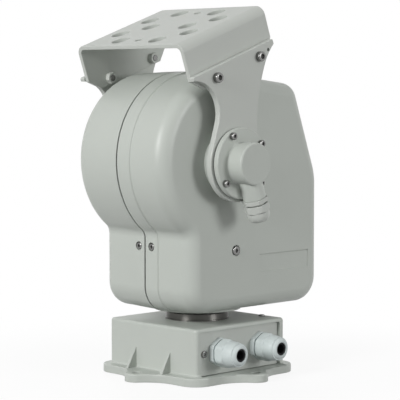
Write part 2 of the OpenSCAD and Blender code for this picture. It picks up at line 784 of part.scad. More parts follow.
// One half of the body, on the +X side, with a raised band along the seam if proud > 0
module half_shell(proud) {
    x0 = seam_t / 2;
    band = proud > 0
        ? [[x0, -proud], [band_w - proud / 2, -proud], [band_w + proud / 2, 0]]
        : [[x0, 0]];
    difference() {
        union() {
            difference() {
                loft(concat(band, rounded_side(body_half, side_edge_r, 0)));
                loft(concat([[-1, shell_t]],
                            rounded_side(inner_half, side_edge_r - shell_t, shell_t)));
            }
            translate([0, tilt_y, tilt_z]) across(boss_in_x)
                cylinder(d = side_boss_d, h = boss_x - boss_in_x);
        }
        translate([0, tilt_y, tilt_z]) {
            across(boss_in_x - 1)
                cylinder(d = tilt_bearing_d, h = tilt_bearing_x + tilt_bearing_t - boss_in_x + 1);
            across(boss_in_x - 1) cylinder(r = cap_bore_r, h = boss_x - boss_in_x + 2);
            across(boss_x - 5) cylinder(r = tilt_seal_r, h = 6);
        }
        translate([0, 0, body_z - 1]) cylinder(d = hub_d + 2 * slip_fit, h = 20);
        for (a = [45, -45]) rotate(a)
            translate([turntable_screw_r, 0, body_z - 1])
                cylinder(d = m4[0] + 2 * run_fit, h = shell_t + 2);
        translate([seam_screw_x, 0, body_z + seam_screw_rise]) rotate([90, 0, 0]) {
            translate([0, 0, -body_rear - 5]) cylinder(d = m4[0] + screw_play, h = 300);
            translate([0, 0, body_front - 2]) cylinder(r = 4.2, h = 20);
            translate([0, 0, -body_rear - 18]) cylinder(r = 4.2, h = 20);
        }
        translate([0, side_screw_y, side_screw_z]) {
            across(inner_half - 2) cylinder(d = m5[0] + screw_play, h = 20);
            across(body_half - 1.5) cylinder(d = m5[1] + 1, h = 5);
        }
    }
}

module right_shell() {
    color(paint) difference() {
        half_shell(band_proud);
        translate([body_half - label_depth, label_y[0], body_z + label_rise[0]])
            cube([5, label_y[1] - label_y[0], label_rise[1] - label_rise[0]]);
    }
}

module left_shell() {
    color(paint) mirror([1, 0, 0]) half_shell(0);
}

module shell_gasket() {
    color(dark) difference() {
        across(-seam_t / 2) linear_extrude(seam_t) difference() {
            polygon(profile(0.6));
            polygon(profile(shell_t));
        }
        translate([0, 0, body_z - 1]) cylinder(d = hub_d + 2 * slip_fit, h = 20);
    }
}

module side_screws() {
    color(steel) both_sides()
        translate([0, side_screw_y, side_screw_z]) across(body_half - 1.5)
            cap_screw(m5, shell_t + 4);
}

module seam_screws() {
    head_in = 2;
    color(steel) for (x = [-1, 1]) {
        translate([x * seam_screw_x, head_in - body_front, body_z + seam_screw_rise])
            rotate([90, 0, 0]) cap_screw([4, 7.2, 3, 3], shell_t - head_in + 3.5);
        translate([x * seam_screw_x, body_rear - head_in, body_z + seam_screw_rise])
            rotate([-90, 0, 0]) cap_screw([4, 7.2, 3, 3], shell_t - head_in + 3.5);
    }
}

module seam_plates() {
    plate = [2 * seam_screw_x + 9, 4, 18];
    color(steel) for (y = [shell_t - body_front, body_rear - shell_t - plate[1]])
        difference() {
            translate([-plate[0] / 2, y, body_z + seam_screw_rise - plate[2] / 2]) cube(plate);
            for (x = [-1, 1])
                translate([x * seam_screw_x, y - 1, body_z + seam_screw_rise])
                    rotate([-90, 0, 0]) cylinder(d = m4[0] + 2 * run_fit, h = plate[1] + 2);
        }
}

// Plate on four legs, with a wall for the tilt motor and one for the board
module chassis() {
    plate_x = 50;
    wall_top = tilt_z + motor_w / 2 + 10;
    color([0.62, 0.63, 0.62]) difference() {
        union() {
            translate([-plate_x, leg_y[0] - 9, chassis_z])
                cube([2 * plate_x, rear_plate_y + 3 - leg_y[0] + 9, chassis_t]);
            both_sides() translate([plate_x - 4, side_screw_y - 8, side_screw_z - 7])
                cube([inner_half - plate_x + 4, 16, 14]);
            for (x = [-leg_x, leg_x]) for (y = leg_y)
                translate([x, y, body_z + shell_t]) cylinder(r = 5, h = chassis_z - body_z - shell_t + 1);
            translate([motor_plate_x, plate_front_y, chassis_z])
                cube([chassis_t - 0.5, rear_plate_y - plate_front_y + 1, wall_top - chassis_z]);
            translate([-44, rear_plate_y, chassis_z]) cube([88, 3, 92]);
        }
        translate([0, 0, chassis_z - 1]) cylinder(d = pan_shaft_d + 16, h = chassis_t + 2);
        translate([0, pan_reach, chassis_z - 1]) cylinder(r = 11 + slip_fit, h = chassis_t + 2);
        translate([-motor_w / 2 - 1, pan_reach - motor_w / 2 - 1, motor_face_z])
            cube([motor_w + 2, motor_w + 2, motor_len + 2]);
        translate([0, pinion_y, tilt_z]) across(motor_plate_x - 1)
            cylinder(r = 11 + slip_fit, h = chassis_t + 2);
        both_sides() translate([0, side_screw_y, side_screw_z]) across(inner_half - 6)
            cylinder(d = m5[0] + 2 * run_fit, h = 8);
    }
}

// Geared motor, its face at the origin and its body up +Z, with a blind shaft hole
module motor() {
    difference() {
        union() {
            intersection() {
                translate([0, 0, motor_len / 2]) cube([motor_w, motor_w, motor_len], center = true);
                cylinder(r = motor_w * 0.64, h = motor_len);
            }
            translate([0, 0, -3]) cylinder(r = 11, h = 4);
        }
        translate([0, 0, -4]) cylinder(d = motor_shaft_d + 2 * run_fit, h = 16);
        for (z = [motor_len * 0.3, motor_len * 0.6])
            translate([0, 0, z]) ring(motor_w, motor_w * 0.61, 1.5);
    }
}

module pan_motor() {
    color([0.2, 0.2, 0.22]) translate([0, pan_reach, motor_face_z]) motor();
}

module tilt_motor() {
    color([0.2, 0.2, 0.22]) translate([0, pinion_y, tilt_z])
        across(motor_plate_x + chassis_t - 0.5) motor();
}

module pan_pinion() {
    color(steel) translate([0, pan_reach, gear_z + 0.4]) {
        linear_extrude(gear_t - 0.8) rotate(90 + 180 / pinion_teeth) gear_outline(pinion_teeth);
        cylinder(d = motor_shaft_d, h = motor_face_z - gear_z + 6);
    }
}

module tilt_pinion() {
    color(steel) translate([0, pinion_y, tilt_z]) across(tilt_gear_x + 0.4) {
        linear_extrude(gear_t - 0.8) rotate(180 / pinion_teeth) gear_outline(pinion_teeth);
        cylinder(d = motor_shaft_d, h = motor_plate_x + chassis_t - tilt_gear_x + 6);
    }
}

module control_board() {
    board = [76, 1.6, 66];
    off = 5;
    y = rear_plate_y + 3;
    z = chassis_z + 16;
    color([0.2, 0.42, 0.3]) {
        translate([-board[0] / 2, y + off, z]) cube(board);
        for (x = [-33, 33]) for (h = [5, board[2] - 5])
            translate([x, y, z + h]) rotate([-90, 0, 0]) cylinder(r = 3, h = off + eps);
        translate([-20, y + off + board[1] - eps, z + 12]) cube([40, 7, 10]);
        translate([-12, y + off + board[1] - eps, z + 34]) cube([24, 2, 24]);
    }
}

module limit_switches() {
    x = motor_plate_x + chassis_t - 0.5;
    y = tilt_y + cam_r + 1.2;
    color(dark) for (z = [tilt_z - 14, tilt_z + 3])
        difference() {
            union() {
                translate([x, y, z]) cube([9, 10, 11]);
                translate([x + 2, y - 0.8, z + 3]) cube([5, 2, 3]);
            }
            translate([x - 1, y + 6, z + 5.5]) rotate([0, 90, 0]) cylinder(r = 1.2, h = 12);
        }
}

module tilt_bearings() {
    color(steel) both_sides() translate([0, tilt_y, tilt_z]) across(tilt_bearing_x)
        bearing(tilt_bearing_d / 2, tilt_shaft_d / 2 + run_fit, tilt_bearing_t);
}

module tilt_seals() {
    color(dark) both_sides() translate([0, tilt_y, tilt_z]) across(boss_x - 5)
        ring(tilt_seal_r, tilt_shaft_d / 2 + air_gap, 5);
}

// Tilt head

module tilt_shaft() {
    color(steel) tilted() across(-shaft_end_x) difference() {
        cylinder(d = tilt_shaft_d, h = 2 * shaft_end_x);
        translate([0, 0, -1]) cylinder(d = tilt_bore_d, h = 2 * shaft_end_x + 2);
        translate([0, tilt_shaft_d / 2 + 2, shaft_end_x]) cube([14, 14, 16], center = true);
    }
}

module tilt_gear() {
    color(brass) translate([0, tilt_y, tilt_z]) across(tilt_gear_x) difference() {
        union() {
            linear_extrude(gear_t) gear_outline(tilt_teeth);
            translate([0, 0, -8]) cylinder(r = tilt_shaft_d / 2 + 7, h = 9);
        }
        translate([0, 0, -9]) cylinder(d = tilt_shaft_d, h = gear_t + 10);
        for (a = [36:72:324]) rotate(a)
            translate([37, 0, -1]) cylinder(r = 9, h = gear_t + 2);
    }
}

module tilt_cam() {
    color(nylon) tilted() across(cam_x) difference() {
        cylinder(r = cam_r, h = cam_t);
        translate([0, 0, -1]) cylinder(d = tilt_shaft_d, h = cam_t + 2);
        rotate(150) translate([cam_r, 0, cam_t / 2]) cube([6, 14, cam_t + 2], center = true);
    }
}

module shaft_nuts() {
    color(steel) tilted() both_sides() across(arm_out_x)
        hex_nut(tilt_shaft_d + 4, tilt_shaft_d, shaft_nut_t);
}

// Outline of an arm: round end about the axis, hollow front and rear edges, straight top
module arm_outline() {
    tip_u = platform_u0 - 1.5;
    top_w = 94.8;
    heel_u = platform_u1 - 3.7;
    bite = [-13.1, 43.1];
    front = arc3([tip_u, 90], [-6.5, 61.5], bite);
    tangent_a = 142.7;
    end_a = 386;
    rear_low = arm_end_r * [cos(end_a), sin(end_a)];
    rear = arc3(rear_low, [46.3, 48], [66, 76.5]);
    heel = arc3([66, 76.5], [73.5, 83.6], [heel_u, 89.5]);
    polygon(concat([[heel_u, 91.8], [heel_u - 0.9, 93.9], [heel_u - 3, top_w],
                    [tip_u + 2, top_w], [tip_u, top_w - 2]],
                   front, arc([0, 0], arm_end_r, tangent_a, end_a), rear, heel));
}

module arm_plate() {
    tilted() difference() {
        across(arm_x) linear_extrude(arm_t) arm_outline();
        across(arm_x - 1) cylinder(d = tilt_shaft_d, h = arm_t + 2);
        for (s = [-1, 1])
            translate([0, platform_mid + s * platform_screw_u, platform_screw_w])
                across(arm_x - 1) cylinder(d = m6[0] + screw_play, h = arm_t + 2);
        translate([0, 73.6, 86.8]) across(arm_x - 1) cylinder(d = 2.7, h = arm_t + 2);
        for (a = cap_screw_angles)
            rotate([a, 0, 0]) translate([0, cap_screw_r, 0]) across(arm_x + 1)
                cylinder(d = m4[0] + 2 * run_fit, h = arm_t);
    }
}

module right_arm() {
    color(paint) arm_plate();
}

module left_arm() {
    color(paint) mirror([1, 0, 0]) arm_plate();
}

// Bent sheet, seen along the platform: top plate with a flange down each side
module channel_outline(half, top, r) {
    translate([-half, flange_low_w]) square([2 * half, top - r - flange_low_w]);
    translate([r - half, top - r - 1]) square([2 * (half - r), r + 1]);
    for (s = [-1, 1])
        translate([s * (half - r), top - r]) circle(r = r);
}

module platform() {
    u0 = platform_u0;
    u1 = platform_u1;
    color(paint) tilted() difference() {
        intersection() {
            translate([0, u1, 0]) rotate([90, 0, 0]) linear_extrude(platform_len) difference() {
                channel_outline(platform_half, platform_rise, platform_bend_r);
                translate([0, -1]) channel_outline(platform_half - platform_t,
                    platform_rise - platform_t + 1, platform_bend_r - platform_t);
                translate([-platform_half + platform_t, flange_low_w - 2])
                    square([2 * (platform_half - platform_t), 4]);
            }
            across(-platform_half - 1) linear_extrude(2 * platform_half + 2)
                polygon([[u0, platform_rise + 1], [u0, flange_tip_w], [u0 + 15, flange_low_w],
                         [u1 - 15, flange_low_w], [u1, flange_tip_w], [u1, platform_rise + 1]]);
        }
        for (k = [0:4]) {
            spread = k % 2 == 1 ? outer_hole_x : inner_hole_x;
            for (s = [-1, 1])
                translate([s * spread, hole_rows[k], platform_rise - platform_t - 1])
                    cylinder(d = big_hole_d, h = platform_t + 2);
        }
        for (k = [0, 4])
            translate([0, hole_rows[k], platform_rise - platform_t - 1])
                cylinder(d = small_hole_d, h = platform_t + 2);
        for (s = [-1, 1])
            translate([0, platform_mid + s * platform_screw_u, platform_screw_w])
                across(-platform_half - 1) cylinder(d = m6[0] + screw_play, h = 2 * platform_half + 2);
    }
}

module at_platform_screws() {
    tilted() both_sides() for (s = [-1, 1])
        translate([0, platform_mid + s * platform_screw_u, platform_screw_w]) children();
}

module platform_screws() {
    color(steel) at_platform_screws() across(arm_out_x)
        cap_screw(m6, arm_t + platform_t + 5.4);
}

module platform_nuts() {
    color(steel) at_platform_screws() across(arm_x - platform_t - 5)
        hex_nut(10, m6[0] + 2 * run_fit, 5);
}

// Hub cap as a revolved profile: flange, hollow base, cylinder with a rounded end
module cap_profile(len, end_r) {
    neck_r = cap_neck_d / 2;
    flange_r = cap_d / 2;
    blend = 3.5;
    polygon(concat([[0, 0], [flange_r, 0]],
        arc([flange_r - 1, cap_flange_t - 1], 1, 0, 90, 30),
        arc([neck_r + blend, cap_flange_t + blend], blend, 270, 180, 15),
        arc([neck_r - end_r, cap_flange_t + len - end_r], end_r, 0, 90, 15),
        [[0, cap_flange_t + len]]));
}

module cap_cuts(len) {
    nut_room = shaft_nut_t + 0.4 - cap_gasket_t;
    translate([0, 0, -1]) cylinder(r = tilt_shaft_d / 2 + 6, h = nut_room + 1);
    translate([0, 0, -1]) cylinder(r = cap_bore_r, h = cap_flange_t + len - 3);
}

module cap_screw_holes() {
    for (a = cap_screw_angles) rotate([a, 0, 0])
        translate([0, cap_screw_r, 0]) across(cap_x - 5)
            cylinder(d = m4[0] + screw_play, h = cap_flange_t + 12);
}

module right_hub_cap() {
    color(paint) tilted() difference() {
        union() {
            across(cap_x) rotate_extrude() cap_profile(cap_neck_len, 3);
            intersection() {
                translate([elbow_x, elbow_u, -elbow_len]) cylinder(d = elbow_d, h = elbow_len);
                translate([cap_x, -50, -50]) cube([60, 100, 100]);
            }
        }
        across(cap_x) cap_cuts(cap_neck_len);
        translate([elbow_x, elbow_u, -elbow_len - 1]) cylinder(r = elbow_bore_r, h = elbow_len);
        cap_screw_holes();
    }
}

module left_hub_cap() {
    color(paint) tilted() mirror([1, 0, 0]) difference() {
        across(cap_x) rotate_extrude() cap_profile(cap_left_len, 2);
        across(cap_x) cap_cuts(cap_left_len);
        cap_screw_holes();
    }
}

module hub_gaskets() {
    color(dark) tilted() both_sides() difference() {
        across(arm_out_x) ring(cap_d / 2 - 0.6, tilt_shaft_d / 2 + 6, cap_gasket_t);
        cap_screw_holes();
    }
}

module hub_cap_screws() {
    color(steel) tilted() both_sides() for (a = cap_screw_angles)
        rotate([a, 0, 0]) translate([0, cap_screw_r, 0]) across(cap_face_x)
            cap_screw(m4, cap_flange_t + cap_gasket_t + arm_t - 1.5);
}

module at_elbow(w) {
    tilted() translate([elbow_x, elbow_u, w]) rotate([180, 0, 0]) children();
}

module elbow_gland_body() {
    neck = elbow_hex_t + gland_gap + elbow_nut_len - seal_end - 1;
    color(paint) at_elbow(-elbow_len) difference() {
        union() {
            rotate(30) cylinder(d = elbow_flats / cos(30), h = elbow_hex_t, $fn = 6);
            translate([0, 0, -9]) cylinder(r = elbow_bore_r, h = 10);
            cylinder(r = elbow_neck_r, h = neck);
        }
        translate([0, 0, -10]) cylinder(r = elbow_inner_r, h = neck + 11);
        translate([0, 0, neck + 1 - elbow_seal_len])
            cylinder(r = elbow_seal_r, h = elbow_seal_len);
    }
}

module elbow_gland_nut() {
    color(paint) at_elbow(-elbow_len - elbow_hex_t - gland_gap) rotate(30)
        dome_nut(elbow_flats, elbow_nut_len, elbow_neck_r + slip_fit, elbow_mouth_d / 2);
}

module elbow_gland_seal() {
    color(dark) at_elbow(-elbow_len) translate([0, 0, elbow_seal_at])
        cable_seal(elbow_seal_r, elbow_cable_d, elbow_seal_len,
            elbow_inner_r, elbow_mouth_d / 2);
}

foot_housing();
foot_cover();
cover_gasket();
cover_screws();
gland_bodies();
gland_nuts();
gland_seals();
gland_locknuts();
pan_collar();
pan_shaft();
pan_shaft_screws();
pan_gear();
pan_shaft_nut();
terminal_board();
earth_screw();
turntable();
turntable_screws();
pan_seal();
pan_bearings();
right_shell();
left_shell();
shell_gasket();
side_screws();
seam_screws();
seam_plates();
chassis();
pan_motor();
tilt_motor();
control_board();
limit_switches();
tilt_bearings();
tilt_seals();
pan_pinion();
tilt_pinion();
tilt_shaft();
tilt_gear();
tilt_cam();
shaft_nuts();
right_arm();
left_arm();
platform();
platform_screws();
platform_nuts();
right_hub_cap();
left_hub_cap();
hub_gaskets();
hub_cap_screws();
elbow_gland_body();
elbow_gland_nut();
elbow_gland_seal();
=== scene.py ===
import json
from math import atan2, ceil, cos, degrees, hypot, pi, radians, sin, sqrt

import bmesh
import bpy
from mathutils import Matrix, Vector


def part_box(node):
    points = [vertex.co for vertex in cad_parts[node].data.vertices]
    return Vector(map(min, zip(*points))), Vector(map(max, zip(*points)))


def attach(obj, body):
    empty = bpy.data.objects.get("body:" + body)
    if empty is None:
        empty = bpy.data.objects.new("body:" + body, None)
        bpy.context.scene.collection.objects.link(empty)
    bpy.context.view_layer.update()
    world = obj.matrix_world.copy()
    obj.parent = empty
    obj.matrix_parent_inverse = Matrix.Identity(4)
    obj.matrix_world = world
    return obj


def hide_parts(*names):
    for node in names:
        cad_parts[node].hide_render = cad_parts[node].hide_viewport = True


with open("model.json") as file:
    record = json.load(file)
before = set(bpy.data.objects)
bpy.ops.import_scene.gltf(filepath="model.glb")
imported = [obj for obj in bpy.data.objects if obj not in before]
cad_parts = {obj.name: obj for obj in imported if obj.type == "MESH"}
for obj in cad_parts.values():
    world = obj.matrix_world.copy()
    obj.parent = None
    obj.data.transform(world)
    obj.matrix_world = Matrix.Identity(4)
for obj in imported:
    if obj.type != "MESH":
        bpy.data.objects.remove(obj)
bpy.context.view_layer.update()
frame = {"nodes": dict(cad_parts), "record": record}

# Lengths are in millimetres and angles in degrees. Where a line says metres, it means metres.
MM = 0.001

# Camera that was fitted to the photograph, its place in metres
PHOTO_PX = 400
FOCAL_PX = 1663.9
SENSOR = 36.0
CAMERA_AT = (1.16597, -1.13592, 0.2853)
CAMERA_PITCH = 4.0935
CAMERA_TURN = 45.65

# Tilt axis, and the platform's angle nose down at rest
TILT_Y = -23.5
TILT_Z = 208.5
REST_TILT = 19.5

# Foot: flange with four ears
FLANGE_HALF = 71
FLANGE_T = 8
FLANGE_CORNER_R = 19
EAR_R = 11.5
EAR_HALF = 38
FIX_REACH = 80.5
FIX_R = 4.5

# Foot: box with the room inside it and the window behind the cover, and gussets
FOOT_HALF = 60.6
FOOT_CORNER_R = 3.2
FOOT_FILLET = 2.2
FOOT_TOP = 53
ROOM_HALF = 54
ROOM_X = 48
ROOM_Z = (5, 47)
WINDOW_HALF = 43
WINDOW_RIM = 5.5
GUSSET = ((58, 5), (72, 5), (72, 8.4), (60.2, 29.5), (58, 29.5))
GUSSET_HALF_T = 1.75
GUSSET_Y = 24
EARTH_SCREW_X = 38
EARTH_SCREW_Y = 52
EARTH_HOLE_R = 2.1

# Foot: side cover, glands and collar
COVER_FACE = 57.5
COVER_T = 3
COVER_SEAT = 4
COVER_GAP = 0.45
COVER_LOW = 7.5
COVER_HIGH = 49
COVER_HALF = 54
COVER_SCREW_Y = 47.18
COVER_SCREW_Z = 28.25
COVER_SCREW_HOLE_R = 2.2
GLAND_HOLE_R = 10.15
GLAND_Y = 27.7
GLAND_Z = 28.3
GLAND_FLATS = 25
GLAND_TURN = 30
COLLAR_IN_R = 16.1
COLLAR_R = 31.5

# Body: side outline, where DRUM is the Y and Z of the round front's middle
BODY_LOW = 66
BODY_HALF = 61.5
BODY_FRONT = 68.5
BODY_REAR = 112
DRUM = (-21.5, 210.2)
DRUM_R = 83
THROAT_R = 11
FRONT_EDGE_R = 24
REAR_EDGE_R = 25
SOFT_EDGE_R = 60
TOP_EDGE_R = 18
ROOF_ANGLE = 83.5
SLOPE_ANGLE = 20.2
SLOPE_REACH = 119.35

# Body: shells. A band gives the two values of X between which it falls back to the wall.
SHELL_T = 4
SIDE_R = 14.4
SEAM_HALF = 0.8
SEAM_LIP = 0.7
BAND_PROUD = 1.2
RIGHT_BAND = (17.2, 18.7)
LEFT_BAND = (4, 46)
SEAM_SCREW_X = 8.8
SEAM_SCREW_Z = 128
SEAM_SCREW_SINK = 2
SEAM_SCREW_WELL_R = 4.1
SIDE_SCREW_Y = -8
SIDE_SCREW_SINK = 1.9
SIDE_SCREW_HOLE_R = 2.65
TURNTABLE_HOLE_R = 34.1
BOSS_R = 27.5
BOSS_END = 72.9
LABEL_Y = (24.5, 93.7)
LABEL_Z = (101, 118.3)
LABEL_LINE_Z = (117.5, 118.4)

# Tilt head. U runs along the platform to its rear and W up to it, both from the tilt axis.
ARM_IN = 73.5
ARM_OUT = 79.5
ARM_END_R = 36.5
ARM_TOP_W = 94.8
ARM_BORE_R = 15
PLATE_TOP = 126.5
PLATE_T = 4
PLATE_BEND = 9
PLATE_U = (-27.5, 86.5)
PLATE_FLANGE_W = (78, 90, 95, 104)
PLATE_SCREWS = ((-0.5, 84.8), (59.5, 84.8))
BIG_HOLE_R = 9
CAMERA_HOLE_R = 4
HOLE_ROWS = ((-11.5, 25.5), (9, 47.5), (29.5, 25.5), (50, 47.5), (70.5, 25.5))
CAMERA_HOLES_U = (-11.5, 70.5)
HEEL_HOLE = (73.6, 86.8)
HEEL_HOLE_R = 1.6
CAP_IN = 80.3
CAP_FACE = 85.5
CAP_SCREW_R = 29.5
CAP_SCREW_ANGLES = (17.8, 99.7, 197.8, 300)
ELBOW_X = 91.4
ELBOW_U = -2
ELBOW_LEN = 34
ELBOW_GLAND_FLATS = 22.4
ELBOW_SLEEVE_END = 19
ELBOW_SEAL_R = 7.4

# Holes for screws, as radii
M6_HOLE_R = 3.15
M4_HOLE_R = 2.15
M4_THREAD_R = 2.05

# Cap screws: head radius and height, socket width, shank radius and length, head's rounding
COVER_SCREW = (3.5, 1.9, 2.6, 2, 8, 1)
EARTH_SCREW = (3.25, 1.4, 2.5, 2, 4.5, 0.9)
SIDE_SCREW = (4.4, 3, 3.4, 2.5, 8, 1.3)
SEAM_SCREW = (3.4, 3, 2.8, 2, 5.5, 1.1)
PLATE_SCREW = (4.8, 5, 4.6, 3, 15.4, 1.5)
CAP_SCREW = (3.5, 4, 3, 2, 10.5, 1.2)

# Colours, as linear values
PAINT = (0.500, 0.530, 0.492, 1)
PLATE_PAINT = (0.525, 0.548, 0.515, 1)
NYLON = (0.61, 0.67, 0.665, 1)
RUBBER = (0.012, 0.012, 0.013, 1)
# Screw steel darkened well below bare steel's own tone. This is painted shade standing in for the
# dark surroundings the heads would reflect, and their bright spots come from the lamps.
STAINLESS_PAINTED_DARK_REFLECTION = (0.22, 0.22, 0.215, 1)
# Turned steel darkened well below polished steel's own tone. This is painted shade standing in
# for dark surroundings in its reflection, between the bright stripes that the lamps make.
POLISHED_PAINTED_DARK_REFLECTION = (0.15, 0.147, 0.138, 1)
GROUND_STEEL = (0.50, 0.51, 0.52, 1)
BRASS = (0.62, 0.44, 0.18, 1)
ENAMEL = (0.025, 0.025, 0.028, 1)
BOARD = (0.02, 0.13, 0.06, 1)
SWITCH = (0.03, 0.03, 0.035, 1)
CAM_NYLON = (0.70, 0.70, 0.62, 1)
ALLOY = (0.55, 0.56, 0.57, 1)
WHITE = (1, 1, 1, 1)

# Studio, lengths in metres. The share of plain white in what the eye sees of the floor grows
# over the two distances of FLOOR_FADE, and WHITE_SHARE says from what to what.
FLOOR_BOUNCE = 0.22
FLOOR_SEEN = 0.95
FLOOR_FADE = (0.12, 0.42)
WHITE_SHARE = (0.88, 1.0)
SKY = 0.3
LAMP_TARGET = (0, 0, 0.2)
KEY_LAMP = {"at": (0.1, -2.8, 1.3), "size": 1.0, "power": 63}
SIDE_LAMP = {"at": (2.75, 0.9, 0.85), "size": 1.0, "power": 28}
REAR_LAMP = {"at": (-2.4, 1.7, 1.2), "size": 1.2, "power": 34}


# Material helpers

def new_material(name):
    material = bpy.data.materials.new(name)
    material.use_nodes = True
    tree = material.node_tree
    return material, tree, tree.nodes["Principled BSDF"]


def add_node(tree, kind, inputs=(), settings=()):
    """A new node. An input's value is a number, a colour or another node's output."""
    node = tree.nodes.new(kind)
    for key, value in dict(settings).items():
        setattr(node, key, value)
    for key, value in dict(inputs).items():
        if isinstance(value, bpy.types.NodeSocket):
            tree.links.new(value, node.inputs[key])
        else:
            node.inputs[key].default_value = value
    return node


def object_coords(tree, stretch=(1, 1, 1)):
    coords = add_node(tree, "ShaderNodeTexCoord")
    mapping = add_node(tree, "ShaderNodeMapping",
                       {"Vector": coords.outputs["Object"], "Scale": stretch})
    return mapping.outputs["Vector"]


def noise(tree, vector, scale, detail, roughness=0.5):
    node = add_node(tree, "ShaderNodeTexNoise",
                    {"Vector": vector, "Scale": scale, "Detail": detail, "Roughness": roughness})
    return node.outputs["Fac"]


def in_range(tree, value, low, high):
    node = add_node(tree, "ShaderNodeMapRange", {"Value": value, "To Min": low, "To Max": high})
    return node.outputs["Result"]


def shades(tree, value, colour, dark, light):
    """The colour, a little darker or lighter with value."""
    node = add_node(tree, "ShaderNodeMix", {"Factor": value}, {"data_type": "RGBA"})
    low, high = [s for s in node.inputs if s.type == "RGBA"]
    low.default_value = tuple(c * dark for c in colour[:3]) + (1,)
    high.default_value = tuple(min(1, c * light) for c in colour[:3]) + (1,)
    return [s for s in node.outputs if s.type == "RGBA"][0]


def bumped(tree, height, depth, strength, under=None):
    """A bump of this depth in metres, laid over the bump under it."""
    inputs = {"Height": height, "Distance": depth, "Strength": strength}
    if under:
        inputs["Normal"] = under
    return add_node(tree, "ShaderNodeBump", inputs).outputs["Normal"]


def join_to(tree, shader, values):
    for socket, value in values.items():
        tree.links.new(value, shader.inputs[socket])


# Materials

def paint(name, colour, rough, peel, grain):
    """Sprayed paint, with slow shades, a wide ripple and a fine peel."""
    material, tree, shader = new_material(name)
    at = object_coords(tree)
    ripple = bumped(tree, noise(tree, at, 210, 2), peel * 2.2, 0.55)
    join_to(tree, shader, {
        "Base Color": shades(tree, noise(tree, at, 14, 4), colour, 0.965, 1.03),
        "Roughness": in_range(tree, noise(tree, at, 60, 5), rough - 0.05, rough + 0.06),
        "Normal": bumped(tree, noise(tree, at, grain, 2), peel, 0.5, ripple)})
    shader.inputs["Specular IOR Level"].default_value = 0.45
    return material


def metal(name, colour, rough, stretch, scale, depth=0.00002):
    """Bare metal whose brush marks are drawn out by stretch."""
    material, tree, shader = new_material(name)
    brush = noise(tree, object_coords(tree, stretch), scale, 3, 0.6)
    join_to(tree, shader, {
        "Base Color": shades(tree, brush, colour, 0.9, 1.08),
        "Roughness": in_range(tree, brush, rough * 0.75, rough * 1.3),
        "Normal": bumped(tree, brush, depth, 0.4)})
    shader.inputs["Metallic"].default_value = 1.0
    return material


def turned_steel(name, colour, rough):
    """Turned steel with the fine rings of a lathe round its own Z. The dark colour it is given is
    painted shade standing in for the dark surroundings it reflects.
    """
    material = metal(name, colour, rough, (1, 1, 30), 60, 0.00001)
    tree = material.node_tree
    shader = tree.nodes["Principled BSDF"]
    shader.inputs["Anisotropic"].default_value = 0.9
    shader.inputs["Anisotropic Rotation"].default_value = 0.25
    rings = add_node(tree, "ShaderNodeTangent",
                     settings={"direction_type": "RADIAL", "axis": "Z"})
    tree.links.new(rings.outputs["Tangent"], shader.inputs["Tangent"])
    return material


def plastic(name, colour, rough, scale, depth, vary=0.04, gloss=0.5):
    material, tree, shader = new_material(name)
    at = object_coords(tree)
    join_to(tree, shader, {
        "Base Color": shades(tree, noise(tree, at, 35, 3), colour, 1 - vary, 1 + vary),
        "Roughness": in_range(tree, noise(tree, at, 90, 4), rough - 0.05, rough + 0.07),
        "Normal": bumped(tree, noise(tree, at, scale, 2), depth, 0.5)})
    shader.inputs["Specular IOR Level"].default_value = gloss
    return material


# By material slot of the record
MATERIALS = {
    "cast_paint": paint("cast_paint", PAINT, 0.40, 0.00006, 850),
    "sheet_paint": paint("sheet_paint", PLATE_PAINT, 0.40, 0.00004, 1100),
    "chassis_alloy": metal("chassis_alloy", ALLOY, 0.38, (1, 1, 12), 120),
    "black_rubber": plastic("black_rubber", RUBBER, 0.62, 900, 0.00005, 0.15, gloss=0.2),
    "stainless": metal("stainless", STAINLESS_PAINTED_DARK_REFLECTION, 0.20, (1, 1, 1), 700),
    "polished_steel": turned_steel("polished_steel", POLISHED_PAINTED_DARK_REFLECTION, 0.40),
    "bearing_steel": metal("bearing_steel", GROUND_STEEL, 0.25, (1, 1, 8), 200),
    "gland_nylon": plastic("gland_nylon", NYLON, 0.44, 500, 0.00002),
    "elbow_nylon": plastic("elbow_nylon", PLATE_PAINT, 0.38, 500, 0.00002),
    "gear_brass": metal("gear_brass", BRASS, 0.34, (1, 1, 1), 300),
    "motor_black": plastic("motor_black", ENAMEL, 0.35, 400, 0.00003, 0.2),
    "circuit_board": plastic("circuit_board", BOARD, 0.30, 300, 0.00003, 0.25),
    "switch_plastic": plastic("switch_plastic", SWITCH, 0.42, 600, 0.00003, 0.1),
    "cam_nylon": plastic("cam_nylon", CAM_NYLON, 0.40, 500, 0.00002),
}


# Outlines and rings

def arc(centre, r, start, end, step=2.5):
    """Points on an arc, about every step degrees."""
    count = max(1, ceil(abs(end - start) / step))
    angles = [radians(start + (end - start) * i / count) for i in range(count + 1)]
    return [(centre[0] + r * cos(a), centre[1] + r * sin(a)) for a in angles]


def arc_through(first, middle, last, count=20):
    """Points on the circle through three points."""
    (ax, ay), (bx, by), (cx, cy) = first, middle, last
    d = 2 * (ax * (by - cy) + bx * (cy - ay) + cx * (ay - by))
    qa, qb, qc = ax * ax + ay * ay, bx * bx + by * by, cx * cx + cy * cy
    mx = (qa * (by - cy) + qb * (cy - ay) + qc * (ay - by)) / d
    my = (qa * (cx - bx) + qb * (ax - cx) + qc * (bx - ax)) / d
    start, end = atan2(ay - my, ax - mx), atan2(cy - my, cx - mx)
    turn = (end - start + pi) % (2 * pi) - pi
    r = hypot(ax - mx, ay - my)
    return [(mx + r * cos(start + turn * i / count), my + r * sin(start + turn * i / count))
            for i in range(count + 1)]


